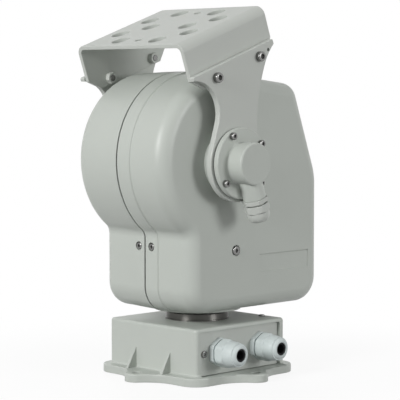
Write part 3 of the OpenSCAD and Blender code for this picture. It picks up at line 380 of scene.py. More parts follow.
def inset(outline, depth):
    """An outline that runs anticlockwise, moved inwards by depth."""
    count = len(outline)
    moved = []
    for i, (x, y) in enumerate(outline):
        before, after = outline[i - 1], outline[(i + 1) % count]
        first = Vector((y - before[1], before[0] - x)).normalized()
        second = Vector((after[1] - y, x - after[0])).normalized()
        normal = (first + second).normalized()
        reach = depth / max(0.5, normal.dot(first))
        moved.append((x - normal.x * reach, y - normal.y * reach))
    return moved


def at_height(outline, z):
    return [(x, y, z) for x, y in outline]


def circle(r, z, count=72):
    angles = [2 * pi * i / count for i in range(count)]
    return [(r * cos(a), r * sin(a), z) for a in angles]


def hexagon(flats, r_most, z, turn=0.0, count=72):
    """A hexagon's ring whose corners are turned down to the radius r_most."""
    ring = []
    for i in range(count):
        beside = radians((360 * i / count) % 60 - 30)
        r = min(r_most, flats / 2 / cos(beside))
        a = radians(turn + 360 * i / count)
        ring.append((r * cos(a), r * sin(a), z))
    return ring


def rounded_box(x0, x1, y0, y1, r, step=15):
    return (arc((x1 - r, y0 + r), r, -90, 0, step) + arc((x1 - r, y1 - r), r, 0, 90, step)
            + arc((x0 + r, y1 - r), r, 90, 180, step) + arc((x0 + r, y0 + r), r, 180, 270, step))


def edge_steps(r, count):
    """Pairs of inset and height below the top, round an edge of radius r."""
    angles = [pi / 2 * i / count for i in range(count + 1)]
    return [(r - r * cos(a), r - r * sin(a)) for a in angles]


# Frames in which pieces are drawn

def across(x, y=0.0, z=0.0):
    """Local X runs along Y, local Y up and local Z along X."""
    turn = Matrix(((0, 0, 1, 0), (1, 0, 0, 0), (0, 1, 0, 0), (0, 0, 0, 1)))
    return Matrix.Translation((x, y, z)) @ turn


def turned_by(angle, axis):
    return Matrix.Rotation(radians(angle), 4, axis)


def moved_to(x, y, z):
    return Matrix.Translation((x, y, z))


UPRIGHT = Matrix.Identity(4)
TILTED = moved_to(0, TILT_Y, TILT_Z) @ turned_by(REST_TILT, "X")
MIRRORED = Matrix.Scale(-1, 4, (1, 0, 0))
SIDES = (UPRIGHT, MIRRORED)
QUARTERS = (0, 90, 180, 270)
PAIR = (-1, 1)


# Modelling

def make_active(piece):
    bpy.ops.object.select_all(action="DESELECT")
    piece.select_set(True)
    bpy.context.view_layer.objects.active = piece


def bridge_ends(piece):
    """Takes out the two end faces of a lofted piece and joins their rims."""
    shape = bmesh.from_edit_mesh(piece.data)
    bpy.ops.mesh.select_mode(type="FACE")
    bpy.ops.mesh.select_all(action="DESELECT")
    for face in shape.faces:
        face.select_set(len(face.verts) > 4)
    bmesh.update_edit_mesh(piece.data)
    bpy.ops.mesh.delete(type="ONLY_FACE")
    bpy.ops.mesh.select_mode(type="EDGE")
    bpy.ops.mesh.select_all(action="DESELECT")
    bpy.ops.mesh.select_non_manifold()
    bpy.ops.mesh.bridge_edge_loops()
    bpy.ops.mesh.select_mode(type="VERT")


def lofted(name, rings, frame_at=UPRIGHT, through=False):
    """A closed piece extruded ring by ring. Its two ends are flat, or joined when through."""
    bpy.ops.object.select_all(action="DESELECT")
    bpy.ops.mesh.primitive_circle_add(vertices=len(rings[0]), radius=0.1, fill_type="NGON")
    piece = bpy.context.object
    piece.name = name
    bpy.ops.object.mode_set(mode="EDIT")
    bpy.ops.mesh.select_all(action="SELECT")
    shape = bmesh.from_edit_mesh(piece.data)
    ends = list(shape.verts)
    order = list(range(len(ends)))
    for step, ring in enumerate(rings):
        if step:
            # The extruded vertices still lie on the old ones, which tells their order
            places = {tuple(v.co): i for v, i in zip(ends, order)}
            bpy.ops.mesh.extrude_region_move()
            shape = bmesh.from_edit_mesh(piece.data)
            ends = [v for v in shape.verts if v.select]
            order = [places[tuple(v.co)] for v in ends]
        for v, i in zip(ends, order):
            v.co = MM * (frame_at @ Vector(ring[i]))
    bmesh.update_edit_mesh(piece.data)
    if through:
        bridge_ends(piece)
    bpy.ops.mesh.select_all(action="SELECT")
    bpy.ops.mesh.normals_make_consistent(inside=False)
    bpy.ops.object.mode_set(mode="OBJECT")
    piece.location = (0, 0, 0)
    return piece


def turned(name, stations, frame_at=UPRIGHT, through=False, count=72):
    """A piece turned about its own Z, through stations of radius and height."""
    return lofted(name, [circle(r, z, count) for r, z in stations], frame_at, through)


def slab(name, outline, low, high, edge, frame_at=UPRIGHT, low_edge=None, steps=4):
    """A plate with this outline whose lower and upper edges are rounded."""
    low_edge = edge if low_edge is None else low_edge
    rings = [at_height(inset(outline, d), low + h)
             for d, h in reversed(edge_steps(low_edge, steps))]
    rings += [at_height(inset(outline, d), high - h) for d, h in edge_steps(edge, steps)]
    return lofted(name, rings, frame_at)


def sharp_slab(name, outline, low, high, frame_at):
    """A plate for cutting, with edges that are as good as sharp."""
    return slab(name, outline, low, high, 0.01, frame_at, steps=1)


def apply_all(piece):
    make_active(piece)
    for modifier in list(piece.modifiers):
        bpy.ops.object.modifier_apply(modifier=modifier.name)
    return piece


def combine(piece, tools, operation):
    for tool in tools:
        modifier = piece.modifiers.new("combine", "BOOLEAN")
        modifier.object = tool
        modifier.operation = operation
        modifier.solver = "EXACT"
        apply_all(piece)
        bpy.data.objects.remove(tool)
    return piece


def carve(piece, *cutters):
    return combine(piece, cutters, "DIFFERENCE")


def weld_on(piece, *others):
    return combine(piece, others, "UNION")


def round_edges(piece, width, segments, angle):
    """Rounds the edges at which the faces turn by more than angle."""
    modifier = piece.modifiers.new("edges", "BEVEL")
    modifier.width = width * MM
    modifier.segments = segments
    modifier.limit_method = "ANGLE"
    modifier.angle_limit = radians(angle)
    return apply_all(piece)


def bored(r, low, high, frame_at=UPRIGHT, edge=0.4, count=48):
    """A cutter for a hole from low up to high, with a small chamfer at its mouth."""
    over = 0.3
    stations = [(r, low), (r, high - edge), (r + edge + over, high + over),
                (r + edge + over, high + 3)]
    return turned("bore", stations, frame_at, count=count)


def plain_bore(r, low, high, frame_at=UPRIGHT, count=72):
    return turned("bore", [(r, low), (r, high)], frame_at, count=count)


def copied(piece, places):
    """Copies of a piece that was modelled at the origin, one at each place with its own mesh."""
    made = []
    for place in places:
        copy = bpy.data.objects.new(piece.name, piece.data.copy())
        bpy.context.scene.collection.objects.link(copy)
        place_in_metres = place.copy()
        place_in_metres.translation = MM * place.translation
        copy.data.transform(place_in_metres)
        make_active(copy)
        bpy.ops.object.mode_set(mode="EDIT")
        bpy.ops.mesh.select_all(action="SELECT")
        bpy.ops.mesh.normals_make_consistent(inside=False)
        bpy.ops.object.mode_set(mode="OBJECT")
        made.append(copy)
    bpy.data.objects.remove(piece)
    return made


def joined(pieces):
    make_active(pieces[0])
    for piece in pieces[1:]:
        piece.select_set(True)
    if len(pieces) > 1:
        bpy.ops.object.join()
    return pieces[0]


def body_of(node):
    groups = frame["record"]["behaviour"]["bodies"]
    return [body for body, members in groups.items() if node in members][0]


def slot_of(node):
    return [p["material_slot"] for p in frame["record"]["subparts"] if p["node"] == node][0]


def finish_piece(pieces, node, angle=30, finish=None):
    """Makes one smooth piece of these solids in the place of a CAD node. Edges that turn by
    more than angle stay sharp, and finish names a material other than the slot's own."""
    piece = joined(pieces if isinstance(pieces, list) else [pieces])
    piece.name = node + "_piece"
    make_active(piece)
    bpy.ops.object.shade_smooth_by_angle(angle=radians(angle))
    flat = piece.modifiers.new("flat_faces", "WEIGHTED_NORMAL")
    flat.keep_sharp = True
    apply_all(piece)
    piece.data.materials.clear()
    piece.data.materials.append(MATERIALS[finish or slot_of(node)])
    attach(piece, body_of(node))
    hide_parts(node)


def make_screws(node, size, places):
    """Cap screws whose heads stand on these places and whose shanks run down -Z."""
    r, h, socket, shank_r, shank, soft = size
    count = 48
    rings = [circle(shank_r - 0.3, -shank, count), circle(shank_r, 0.3 - shank, count),
             circle(shank_r, 0, count), circle(r - 0.15, 0, count), circle(r, 0.15, count)]
    rings += [circle(r - d, h - z, count) for d, z in edge_steps(soft, 4)]
    rings += [hexagon(socket + 0.5, r, h, 0, count), hexagon(socket, r, h - 0.3, 0, count),
              hexagon(socket, r, h - h * 0.6, 0, count)]
    finish_piece(copied(lofted("screw", rings), places), node)


# Foot

def flange_outline():
    """Square with round corners and an ear with hollow flanks on each side."""
    c = FLANGE_HALF - FLANGE_CORNER_R
    step = FIX_REACH - FLANGE_HALF
    flank_r = (EAR_HALF ** 2 + step ** 2 - EAR_R ** 2) / (2 * (EAR_R + step))
    flank_x = FLANGE_HALF + flank_r
    meet = degrees(atan2(EAR_HALF, FIX_REACH - flank_x))
    side = arc((c, -c), FLANGE_CORNER_R, -45, 0, 7.5)
    side += arc((flank_x, -EAR_HALF), flank_r, 180, meet, 4)
    side += arc((FIX_REACH, 0), EAR_R, meet - 180, 180 - meet, 6)[1:]
    side += arc((flank_x, EAR_HALF), flank_r, -meet, -180, 4)[1:]
    side += arc((c, c), FLANGE_CORNER_R, 0, 45, 7.5)[:-1]
    outline = []
    for quarter in QUARTERS:
        a = radians(quarter)
        outline += [(x * cos(a) - y * sin(a), x * sin(a) + y * cos(a)) for x, y in side]
    return outline


def foot_box():
    """The box of the foot, with a fillet where it stands on the flange."""
    half = FOOT_HALF
    outline = rounded_box(-half, half, -half, half, FOOT_CORNER_R, 10)
    rings = [at_height(inset(outline, -FOOT_FILLET), FLANGE_T / 2)]
    for i in range(5):
        a = pi / 2 * i / 4
        rings.append(at_height(inset(outline, -FOOT_FILLET * (1 - sin(a))),
                               FLANGE_T + FOOT_FILLET * (1 - cos(a))))
    rings += [at_height(inset(outline, d), FOOT_TOP - h) for d, h in edge_steps(3, 6)]
    return lofted("foot_box", rings)


def foot_gussets():
    """Two ribs on each side but the one with the cover."""
    for side in QUARTERS[1:]:
        for s in PAIR:
            place = turned_by(side, "Z") @ moved_to(0, s * GUSSET_Y, 0) @ turned_by(90, "X")
            yield slab("gusset", GUSSET, -GUSSET_HALF_T, GUSSET_HALF_T, 0.7, place, steps=3)


def make_foot_housing():
    housing = slab("foot", flange_outline(), 0, FLANGE_T, 1.4, low_edge=0.5)
    weld_on(housing, foot_box(), *foot_gussets())
    seat_x = COVER_FACE - COVER_SEAT
    half = COVER_HALF + COVER_GAP
    seat = rounded_box(-half, half, COVER_LOW - COVER_GAP, COVER_HIGH + COVER_GAP, 2)
    low, high = COVER_LOW + WINDOW_RIM, COVER_HIGH - WINDOW_RIM
    window = rounded_box(-WINDOW_HALF, WINDOW_HALF, low, high, 3)
    room = rounded_box(-ROOM_HALF, ROOM_X, -ROOM_HALF, ROOM_HALF, 4)
    cutters = [sharp_slab("seat", seat, seat_x, 75, across(0)),
               slab("room", room, *ROOM_Z, 2),
               sharp_slab("window", window, ROOM_X - 3, seat_x + 1, across(0)),
               bored(COLLAR_IN_R, 45, FOOT_TOP),
               bored(EARTH_HOLE_R, 48, FOOT_TOP, moved_to(EARTH_SCREW_X, EARTH_SCREW_Y, 0))]
    for side in QUARTERS:
        place = turned_by(side, "Z") @ moved_to(FIX_REACH, 0, 0)
        cutters.append(bored(FIX_R, -2, FLANGE_T, place))
    finish_piece(carve(housing, *cutters), "foot_housing")


def make_foot_cover():
    outline = rounded_box(-COVER_HALF, COVER_HALF, COVER_LOW, COVER_HIGH, 1.5)
    plate = slab("cover", outline, COVER_FACE - COVER_T, COVER_FACE, 0.5, across(0), low_edge=0.1)
    holes = [bored(GLAND_HOLE_R, 50, COVER_FACE, p, 0.2) for p in gland_places(0)]
    holes += [bored(COVER_SCREW_HOLE_R, 50, COVER_FACE, p, 0.2) for p in cover_screw_places(0)]
    finish_piece(carve(plate, *holes), "foot_cover")


def cover_screw_places(x):
    return [across(x, s * COVER_SCREW_Y, COVER_SCREW_Z) for s in PAIR]


def make_cover_screws():
    make_screws("cover_screws", COVER_SCREW, cover_screw_places(COVER_FACE))


def make_earth_screw():
    place = moved_to(EARTH_SCREW_X, EARTH_SCREW_Y, FOOT_TOP)
    make_screws("earth_screw", EARTH_SCREW, [place])


def gland_places(x):
    return [across(x, s * GLAND_Y, GLAND_Z) for s in PAIR]


def make_gland_bodies():
    """Neck through the cover, hexagon on its face and sleeve under the nut."""
    flats, turn, hex_r, hex_top = GLAND_FLATS, GLAND_TURN, 14.1, 5.5
    bore_r, seal_r, seal_seat = 7.5, 9, 17
    neck_r, neck_end, sleeve_r, sleeve_end = 10, -11, 11, 27
    rings = [circle(bore_r, seal_seat), circle(bore_r, neck_end),
             circle(neck_r - 0.3, neck_end), circle(neck_r, neck_end + 0.3), circle(neck_r, 0),
             hexagon(flats, hex_r - 0.5, 0, turn), hexagon(flats, hex_r, 0.5, turn),
             hexagon(flats, hex_r, hex_top - 0.9, turn),
             hexagon(flats, hex_r - 0.8, hex_top, turn),
             circle(sleeve_r, hex_top), circle(sleeve_r, sleeve_end),
             circle(seal_r, sleeve_end), circle(seal_r, seal_seat)]
    body = lofted("gland_body", rings, through=True)
    finish_piece(copied(body, gland_places(COVER_FACE)), "gland_bodies")


def gland_nut(flats, length, mouth_r, bore_r, frame_at=UPRIGHT):
    """Nut with hexagon flats, then a soft shoulder and a domed nose with a narrow rim."""
    turn = GLAND_TURN
    r = flats / 2 / cos(pi / 6) * 0.95
    shoulder = flats / 2 * 0.985
    rim = mouth_r + 1
    dome = length * 0.5
    flat_end = length * 0.36
    bends = [pi / 2 * i / 9 for i in range(10)]
    rings = [hexagon(flats, r - 0.8, 0, turn), hexagon(flats, r, 0.7, turn),
             hexagon(flats, r, flat_end, turn),
             hexagon(flats - 0.3, r - 0.7, flat_end + 0.6, turn),
             circle(shoulder, flat_end + 1.6)]
    rings += [circle(rim + (shoulder - rim) * cos(a), length - dome + dome * sin(a))
              for a in bends]
    rings += [circle(mouth_r + 0.4, length), circle(mouth_r, length - 0.4),
              circle(mouth_r, length - 2.5), circle(bore_r, length - 2.5),
              circle(bore_r, 0.4), circle(bore_r + 0.4, 0)]
    return lofted("gland_nut", rings, frame_at, through=True)


def seal_ring(outer, lip, inner, low, high, frame_at=UPRIGHT):
    """A seal whose narrower lip fills the mouth of the nut in front of it."""
    stations = [(outer, low), (outer, high - 2.4), (outer - 0.3, high - 2.1),
                (lip, high - 2.1), (lip, high - 0.2), (lip - 0.3, high),
                (inner + 0.5, high), (inner, high - 0.5), (inner, low)]
    return turned("seal", stations, frame_at, through=True)


def make_gland_nuts():
    nut = gland_nut(GLAND_FLATS, 23.5, 6.3, 11.1)
    finish_piece(copied(nut, gland_places(COVER_FACE + 7)), "gland_nuts")


def make_gland_seals():
    seal = seal_ring(9, 6.15, 4.5, 17, 29.7)
    finish_piece(copied(seal, gland_places(COVER_FACE)), "gland_seals")


def make_pan_collar():
    inner, outer = COLLAR_IN_R, COLLAR_R
    stations = [(inner, 0), (outer - 0.2, 0), (outer, 0.2), (outer, 0.9), (outer - 0.3, 1.2),
                (outer - 0.8, 1.3), (outer - 0.8, 6.6), (outer - 1.2, 7), (inner, 7)]
    piece = turned("collar", stations, moved_to(0, 0, FOOT_TOP), through=True, count=120)
    finish_piece(piece, "pan_collar", angle=20)


# Body

def make_turntable():
    """A welded copy of the CAD solid with its sharp edges rounded."""
    node = "turntable"
    piece = bpy.data.objects.new(node, frame["nodes"][node].data.copy())
    bpy.context.scene.collection.objects.link(piece)
    make_active(piece)
    bpy.ops.object.mode_set(mode="EDIT")
    bpy.ops.mesh.customdata_custom_splitnormals_clear()
    bpy.ops.mesh.select_all(action="SELECT")
    bpy.ops.mesh.remove_doubles(threshold=0.000005)
    bpy.ops.mesh.dissolve_limited(angle_limit=radians(0.6))
    bpy.ops.object.mode_set(mode="OBJECT")
    finish_piece(round_edges(piece, 0.5, 2, 32), node)


def body_profile(d):
    """Side outline of the body, drawn in by d, in the plane of Y and Z."""
    throat_y = -BODY_FRONT - THROAT_R
    throat_z = DRUM[1] - sqrt((DRUM_R + THROAT_R) ** 2 - (DRUM[0] - throat_y) ** 2)
    meet = degrees(atan2(DRUM[1] - throat_z, DRUM[0] - throat_y))
    slope, roof = radians(SLOPE_ANGLE), radians(ROOF_ANGLE)
    share = cos(roof) * sin(slope) - sin(roof) * cos(slope)
    near, far = DRUM_R - TOP_EDGE_R, SLOPE_REACH - TOP_EDGE_R
    corner = (DRUM[0] + (near * sin(slope) - far * sin(roof)) / share,
              DRUM[1] + (far * cos(roof) - near * cos(slope)) / share)
    soft_y = BODY_REAR - SOFT_EDGE_R
    soft_z = DRUM[1] + (SLOPE_REACH - SOFT_EDGE_R
                        - (soft_y - DRUM[0]) * cos(slope)) / sin(slope)
    rear_foot = (BODY_REAR - REAR_EDGE_R, BODY_LOW + REAR_EDGE_R)
    front_foot = (FRONT_EDGE_R - BODY_FRONT, BODY_LOW + FRONT_EDGE_R)
    outline = (arc(rear_foot, REAR_EDGE_R - d, -90, 0)
               + arc((soft_y, soft_z), SOFT_EDGE_R - d, 0, SLOPE_ANGLE)
               + arc(corner, TOP_EDGE_R - d, SLOPE_ANGLE, ROOF_ANGLE)
               + arc(DRUM, DRUM_R - d, ROOF_ANGLE, 180 + meet)
               + arc((throat_y, throat_z), THROAT_R + d, meet, 0)[1:]
               + arc(front_foot, FRONT_EDGE_R - d, 180, 270))
    return [(y, max(z, BODY_LOW)) for y, z in outline]


def shell_stations(band):
    """Pairs of X and inset, from inside the side wall round the seam to the outer side.
    The wall is proud at the seam and falls back over the band's two values of X."""
    inner_r = SIDE_R - SHELL_T
    inner_half = BODY_HALF - SHELL_T
    inside = [(inner_half - h, SHELL_T + d) for d, h in reversed(edge_steps(inner_r, 5))]
    lip = SEAM_LIP
    seam = [(SEAM_HALF, SHELL_T), (SEAM_HALF, lip - BAND_PROUD)]
    seam += [(SEAM_HALF + lip - lip * cos(radians(a)), lip - lip * sin(radians(a)) - BAND_PROUD)
             for a in (25, 50, 70, 90)]
    fall = [i / 6 for i in range(7)]
    low, high = band
    step = [(low + (high - low) * t, -BAND_PROUD * (1 - t * t * (3 - 2 * t))) for t in fall]
    outside = [(BODY_HALF - h, d) for d, h in edge_steps(SIDE_R, 14)]
    return inside + seam + step + outside


def side_boss(side):
    stations = [(BOSS_R, 53), (BOSS_R, BOSS_END - 0.5), (BOSS_R - 0.5, BOSS_END)]
    return turned("boss", stations, side @ across(0, TILT_Y, TILT_Z), count=120)


def side_screw_z():
    low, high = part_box("side_screws")
    return (low.z + high.z) / 2 / MM


def seam_screw_places(side):
    """A shell's front and rear seam screws: their frame and the wall's distance in it."""
    spot = side @ moved_to(SEAM_SCREW_X, 0, SEAM_SCREW_Z)
    return [(spot @ turned_by(90, "X"), BODY_FRONT), (spot @ turned_by(-90, "X"), BODY_REAR)]


def label_cutters():
    """A shallow flat with a fine line along its top."""
    flat = rounded_box(*LABEL_Y, *LABEL_Z, 1)
    line = rounded_box(*LABEL_Y, *LABEL_LINE_Z, 0.2)
    return [sharp_slab("label", flat, BODY_HALF - 0.5, BODY_HALF + 2, across(0)),
            sharp_slab("line", line, BODY_HALF - 1.2, BODY_HALF + 2, across(0))]


def make_shell(node, side, band, labelled):
    rings = [[(x, y, z) for y, z in body_profile(d)] for x, d in shell_stations(band)]
    shell = lofted(node, rings, side)
    weld_on(shell, side_boss(side))
    hub = side @ across(0, TILT_Y, TILT_Z)
    side_screw = side @ across(0, SIDE_SCREW_Y, side_screw_z())
    bearing_seat = [(24, 50), (24, 66.9), (16, 66.9), (16, 67.9), (20, 67.9), (20, 76)]
    well = [(5.3, 59.5), (5.3, 61.2), (5.7, 61.8), (5.7, 66)]
    cutters = [turned("bore", bearing_seat, hub, count=96),
               plain_bore(TURNTABLE_HOLE_R, 60, 80, count=96),
               turned("well", well, side_screw, count=48),
               plain_bore(SIDE_SCREW_HOLE_R, 50, 66, side_screw, count=32)]
    for place, wall in seam_screw_places(side):
        low, high = wall - SEAM_SCREW_SINK, wall + BAND_PROUD
        cutters += [bored(SEAM_SCREW_WELL_R, low, high, place, 0.3),
                    plain_bore(M4_HOLE_R, 60, wall, place, count=32)]
    if labelled:
        cutters += label_cutters()
    finish_piece(carve(shell, *cutters), node)


def make_side_screws():
    place = across(BODY_HALF - SIDE_SCREW_SINK, SIDE_SCREW_Y, side_screw_z())
    make_screws("side_screws", SIDE_SCREW, [side @ place for side in SIDES])


def make_seam_screws():
    places = [place @ moved_to(0, 0, wall - SEAM_SCREW_SINK)
              for side in SIDES for place, wall in seam_screw_places(side)]
    make_screws("seam_screws", SEAM_SCREW, places)


# Tilt head

def arm_outline():
    """Outline in U and W: foot under the platform's side, hollow flanks and a round end."""
    tip_u = PLATE_U[0] - 1.5
    heel_u = PLATE_U[1] - 3.7
    end_from, end_to = 142.7, 386
    knee = (66, 76.5)
    foot = [(heel_u, 93.2), (heel_u - 0.5, 94.3), (heel_u - 1.6, ARM_TOP_W),
            (tip_u + 1.2, ARM_TOP_W), (tip_u, 93.6)]
    front = arc_through((tip_u, 91), (-6.5, 61.5), (-13.1, 43.1))
    round_end = arc((0, 0), ARM_END_R, end_from, end_to, 3)
    rear = arc_through(round_end[-1], (46.3, 48), knee)
    heel = arc_through(knee, (73.5, 83.6), (heel_u, 89.5), 8)
    return foot + front + round_end[1:] + rear[1:] + heel[1:]


def make_arm(node, side):
    place = side @ TILTED @ across(0)
    arm = slab(node, arm_outline(), ARM_IN, ARM_OUT, 0.9, place)
    cutters = [plain_bore(ARM_BORE_R, 70, 83, place)]
    cutters += [bored(M6_HOLE_R, 70, ARM_OUT, place @ moved_to(u, w, 0), 0.3, 32)
                for u, w in PLATE_SCREWS]
    cutters.append(bored(HEEL_HOLE_R, 70, ARM_OUT, place @ moved_to(*HEEL_HOLE, 0), 0.2, 24))
    for angle in CAP_SCREW_ANGLES:
        a = radians(angle)
        spot = moved_to(CAP_SCREW_R * cos(a), CAP_SCREW_R * sin(a), 0)
        cutters.append(bored(M4_THREAD_R, ARM_IN + 1, ARM_OUT, place @ spot, 0.1, 24))
    finish_piece(carve(arm, *cutters), node)


def plate_ring(x, w, nx, nw):
    """One cut through the bent sheet: its outer edge at x, w and its thickness along nx, nw.
    Low down, the side flanges lose their front and rear corners."""
    u0 = PLATE_U[0] + 15 * max(0, 90 - w) / 12
    u1 = PLATE_U[1] - max(0, 95 - w)
    x_in, w_in = x + nx * PLATE_T, w + nw * PLATE_T
    return [(x, u0, w), (x, u1, w), (x_in, u1, w_in), (x_in, u0, w_in)]


def bent_sheet():
    bend_x, bend_w = ARM_IN - PLATE_BEND, PLATE_TOP - PLATE_BEND
    rings = [plate_ring(-ARM_IN, w, 1, 0) for w in PLATE_FLANGE_W]
    for centre, start in ((-bend_x, 180), (bend_x, 90)):
        for i in range(11):
            a = radians(start - 9 * i)
            rings.append(plate_ring(centre + PLATE_BEND * cos(a), bend_w + PLATE_BEND * sin(a),
                                    -cos(a), -sin(a)))
    rings += [plate_ring(ARM_IN, w, -1, 0) for w in reversed(PLATE_FLANGE_W)]
    return round_edges(lofted("platform", rings, TILTED), 0.7, 3, 40)


def plate_screw_places(x):
    """The frames of the four platform screws, at this distance from the middle."""
    return [side @ TILTED @ across(x, u, w) for side in SIDES for u, w in PLATE_SCREWS]


def make_platform():
    below = PLATE_TOP - 8.5
    cutters = [bored(BIG_HOLE_R, below, PLATE_TOP, TILTED @ moved_to(s * spread, u, 0), 0.5)
               for u, spread in HOLE_ROWS for s in PAIR]
    cutters += [bored(CAMERA_HOLE_R, below, PLATE_TOP, TILTED @ moved_to(0, u, 0))
                for u in CAMERA_HOLES_U]
    cutters += [bored(M6_HOLE_R, 66, ARM_IN, p, 0.2, 32) for p in plate_screw_places(0)]
    finish_piece(carve(bent_sheet(), *cutters), "platform")


def make_platform_screws():
    make_screws("platform_screws", PLATE_SCREW, plate_screw_places(ARM_OUT))


def make_platform_nuts():
    """M6 nuts inside the flanges, painted over with the sheet."""
    flats, corner_r, bore_r, h = 10, 5.78, 3.05, 5
    rings = [hexagon(flats, 5.3, 0), hexagon(flats, corner_r, 0.5),
             hexagon(flats, corner_r, h - 0.4), hexagon(flats, 5.3, h), circle(3.3, h),
             circle(bore_r, h - 0.3), circle(bore_r, 0.3), circle(3.3, 0)]
    nut = lofted("nut", rings, through=True)
    places = plate_screw_places(ARM_IN - PLATE_T - h)
    finish_piece(copied(nut, places), "platform_nuts", finish="sheet_paint")


def cap_stations(length, end_r):
    """Closed turning of a hub cap: hollow from behind, flange, blend and cylinder."""
    flange_r, flange_t, neck_r, blend = 33.5, 5.2, 20, 1.5
    top = flange_t + length
    stations = [(16, length), (16, 3.2), (21, 3.2), (21, 0), (flange_r - 0.4, 0),
                (flange_r, 0.4)]
    stations += [(flange_r - d, flange_t - h) for d, h in edge_steps(1.1, 4)]
    stations += arc((neck_r + blend, flange_t + blend), blend, 270, 180, 15)
    stations += [(neck_r - d, top - h) for d, h in edge_steps(end_r, 6)]
    return stations


def cap_screw_place(side, angle, x):
    a = radians(angle)
    return side @ TILTED @ across(x, CAP_SCREW_R * cos(a), CAP_SCREW_R * sin(a))


def elbow_frame(w):
    """Frame on the axis of the elbow's pipe, with Z down the pipe."""
    return TILTED @ moved_to(ELBOW_X, ELBOW_U, w) @ turned_by(180, "X")


def elbow_pipe():
    """The elbow's downward pipe, flattened where it lies against the cap's back."""
    flat_x = CAP_IN + 0.2 - ELBOW_X
    rings = [[(max(x, flat_x), y, z) for x, y, z in circle(r, z)]
             for r, z in ((10.6, 0), (11, 0.4), (11, ELBOW_LEN - 0.6), (10.4, ELBOW_LEN))]
    return lofted("pipe", rings, elbow_frame(0))


def make_cap(node, side, length, end_r, elbow):
    cap = turned(node, cap_stations(length, end_r), side @ TILTED @ across(CAP_IN), count=96)
    if elbow:
        weld_on(cap, elbow_pipe())
        carve(cap, plain_bore(8, 2, ELBOW_LEN + 2, elbow_frame(0), count=48))
    carve(cap, *[plain_bore(M4_HOLE_R, -3, 9, cap_screw_place(side, a, CAP_IN), count=24)
                 for a in CAP_SCREW_ANGLES])
    finish_piece(cap, node)


def make_hub_cap_screws():
    places = [cap_screw_place(side, a, CAP_FACE) for side in SIDES for a in CAP_SCREW_ANGLES]
    make_screws("hub_cap_screws", CAP_SCREW, places)


def make_elbow_gland_body():
    """The same kind of gland as on the foot, a size smaller, at the end of the pipe."""
    flats, turn, hex_r, hex_top = ELBOW_GLAND_FLATS, GLAND_TURN, 12.93, 4
    bore_r, neck_r, neck_end, sleeve_r = 5.5, 7.9, -9, 8.8
    sleeve_end, seal_r = ELBOW_SLEEVE_END, ELBOW_SEAL_R
    rings = [circle(bore_r, sleeve_end - 8), circle(bore_r, neck_end),
             circle(neck_r, neck_end), circle(neck_r, 0),
             hexagon(flats, 12.4, 0, turn), hexagon(flats, hex_r, 0.4, turn),
             hexagon(flats, hex_r, hex_top - 0.5, turn), hexagon(flats, 11.8, hex_top, turn),
             circle(sleeve_r, hex_top), circle(sleeve_r, sleeve_end),
             circle(seal_r, sleeve_end), circle(seal_r, sleeve_end - 8)]
    piece = lofted("gland", rings, elbow_frame(-ELBOW_LEN), through=True)
    finish_piece(piece, "elbow_gland_body")


def make_elbow_gland_nut():
    place = elbow_frame(-ELBOW_LEN) @ moved_to(0, 0, 5.5)
    finish_piece(gland_nut(ELBOW_GLAND_FLATS, 17, 5.5, 8.9, place), "elbow_gland_nut")


def make_elbow_gland_seal():
    low, high = ELBOW_SLEEVE_END - 8, ELBOW_SLEEVE_END + 2
    seal = seal_ring(ELBOW_SEAL_R, 5.3, 3.5, low, high, elbow_frame(-ELBOW_LEN))
    finish_piece(seal, "elbow_gland_seal")


# Studio: floor, world, lamps and camera

def seen_rays(tree):
    """1 for camera, glossy and transmission rays, and 0 for all others."""
    path = add_node(tree, "ShaderNodeLightPath")
    larger = {"operation": "MAXIMUM"}
    either = add_node(tree, "ShaderNodeMath", {0: path.outputs["Is Camera Ray"],
                                               1: path.outputs["Is Glossy Ray"]}, larger)
    seen = add_node(tree, "ShaderNodeMath", {0: either.outputs[0],
                                             1: path.outputs["Is Transmission Ray"]}, larger)
    return seen.outputs[0]


def white_for_eyes(tree, shader_socket, share):
    """Mixes this share of white into what camera, glossy and transmission rays see."""
    part = add_node(tree, "ShaderNodeMath", {0: seen_rays(tree), 1: share},
                    {"operation": "MULTIPLY"})
    glow = add_node(tree, "ShaderNodeEmission", {"Color": WHITE, "Strength": 1.0})
    mix = add_node(tree, "ShaderNodeMixShader", {0: part.outputs[0], 1: shader_socket,
                                                 2: glow.outputs[0]})
    return mix.outputs[0]


def make_floor():
    """White to the eye, but dull for the light it throws back, and it keeps the shadow."""
    bpy.ops.object.select_all(action="DESELECT")
    bpy.ops.mesh.primitive_plane_add(size=8, location=(0, 0, -0.0004))
    floor = bpy.context.object
    floor.name = "floor"
    material, tree, shader = new_material("pale_floor")
    tree.links.new(in_range(tree, seen_rays(tree), FLOOR_BOUNCE, FLOOR_SEEN),
                   shader.inputs["Base Color"])
    shader.inputs["Roughness"].default_value = 0.6
    coords = add_node(tree, "ShaderNodeTexCoord")
    far = add_node(tree, "ShaderNodeVectorMath", {0: coords.outputs["Object"]},
                   {"operation": "LENGTH"})
    share = add_node(tree, "ShaderNodeMapRange",
                     {"Value": far.outputs["Value"],
                      "From Min": FLOOR_FADE[0], "From Max": FLOOR_FADE[1],
                      "To Min": WHITE_SHARE[0], "To Max": WHITE_SHARE[1]},
                     {"interpolation_type": "SMOOTHSTEP"})
    output = [n for n in tree.nodes if n.type == "OUTPUT_MATERIAL"][0]
    tree.links.new(white_for_eyes(tree, shader.outputs[0], share.outputs["Result"]),
                   output.inputs["Surface"])
    floor.data.materials.append(material)


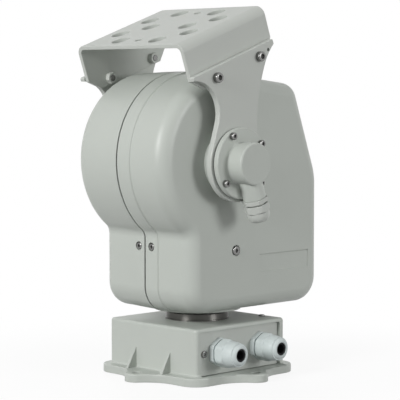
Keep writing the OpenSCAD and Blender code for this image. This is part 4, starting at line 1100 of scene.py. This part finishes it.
def make_world():
    world = bpy.data.worlds.new("studio")
    bpy.context.scene.world = world
    world.use_nodes = True
    tree = world.node_tree
    sky = tree.nodes["Background"]
    sky.inputs["Color"].default_value = WHITE
    sky.inputs["Strength"].default_value = SKY
    output = [n for n in tree.nodes if n.type == "OUTPUT_WORLD"][0]
    tree.links.new(white_for_eyes(tree, sky.outputs[0], 1.0), output.inputs["Surface"])


def lamp(name, at, size, power, shines=True):
    """A round lamp. One that doesn't shine leaves no reflection."""
    light = bpy.data.lights.new(name, "AREA")
    light.shape = "DISK"
    light.size = size
    light.energy = power
    piece = bpy.data.objects.new(name, light)
    bpy.context.scene.collection.objects.link(piece)
    piece.location = at
    piece.visible_glossy = shines
    aim = Vector(LAMP_TARGET) - Vector(at)
    piece.rotation_euler = aim.to_track_quat("-Z", "Y").to_euler()


def make_camera():
    data = bpy.data.cameras.new("camera")
    data.sensor_width = SENSOR
    data.lens = FOCAL_PX / PHOTO_PX * SENSOR
    data.clip_end = 50
    camera = bpy.data.objects.new("camera", data)
    bpy.context.scene.collection.objects.link(camera)
    camera.location = CAMERA_AT
    camera.rotation_euler = (radians(90 - CAMERA_PITCH), 0, radians(CAMERA_TURN))
    bpy.context.scene.camera = camera


make_camera()
make_floor()
make_world()
lamp("key", **KEY_LAMP)
lamp("side", **SIDE_LAMP)
lamp("rear", **REAR_LAMP, shines=False)
bpy.context.scene.view_settings.view_transform = "Standard"

make_foot_housing()
make_foot_cover()
make_cover_screws()
make_earth_screw()
make_gland_bodies()
make_gland_nuts()
make_gland_seals()
make_pan_collar()
make_turntable()
make_shell("right_shell", UPRIGHT, RIGHT_BAND, True)
make_shell("left_shell", MIRRORED, LEFT_BAND, False)
make_side_screws()
make_seam_screws()
make_arm("right_arm", UPRIGHT)
make_arm("left_arm", MIRRORED)
make_platform()
make_platform_screws()
make_platform_nuts()
make_cap("right_hub_cap", UPRIGHT, 17, 1.8, True)
make_cap("left_hub_cap", MIRRORED, 6, 2, False)
make_hub_cap_screws()
make_elbow_gland_body()
make_elbow_gland_nut()
make_elbow_gland_seal()

# The solids of the CAD wear the materials of their slots too
for node, piece in frame["nodes"].items():
    piece.data.materials.clear()
    piece.data.materials.append(MATERIALS[slot_of(node)])
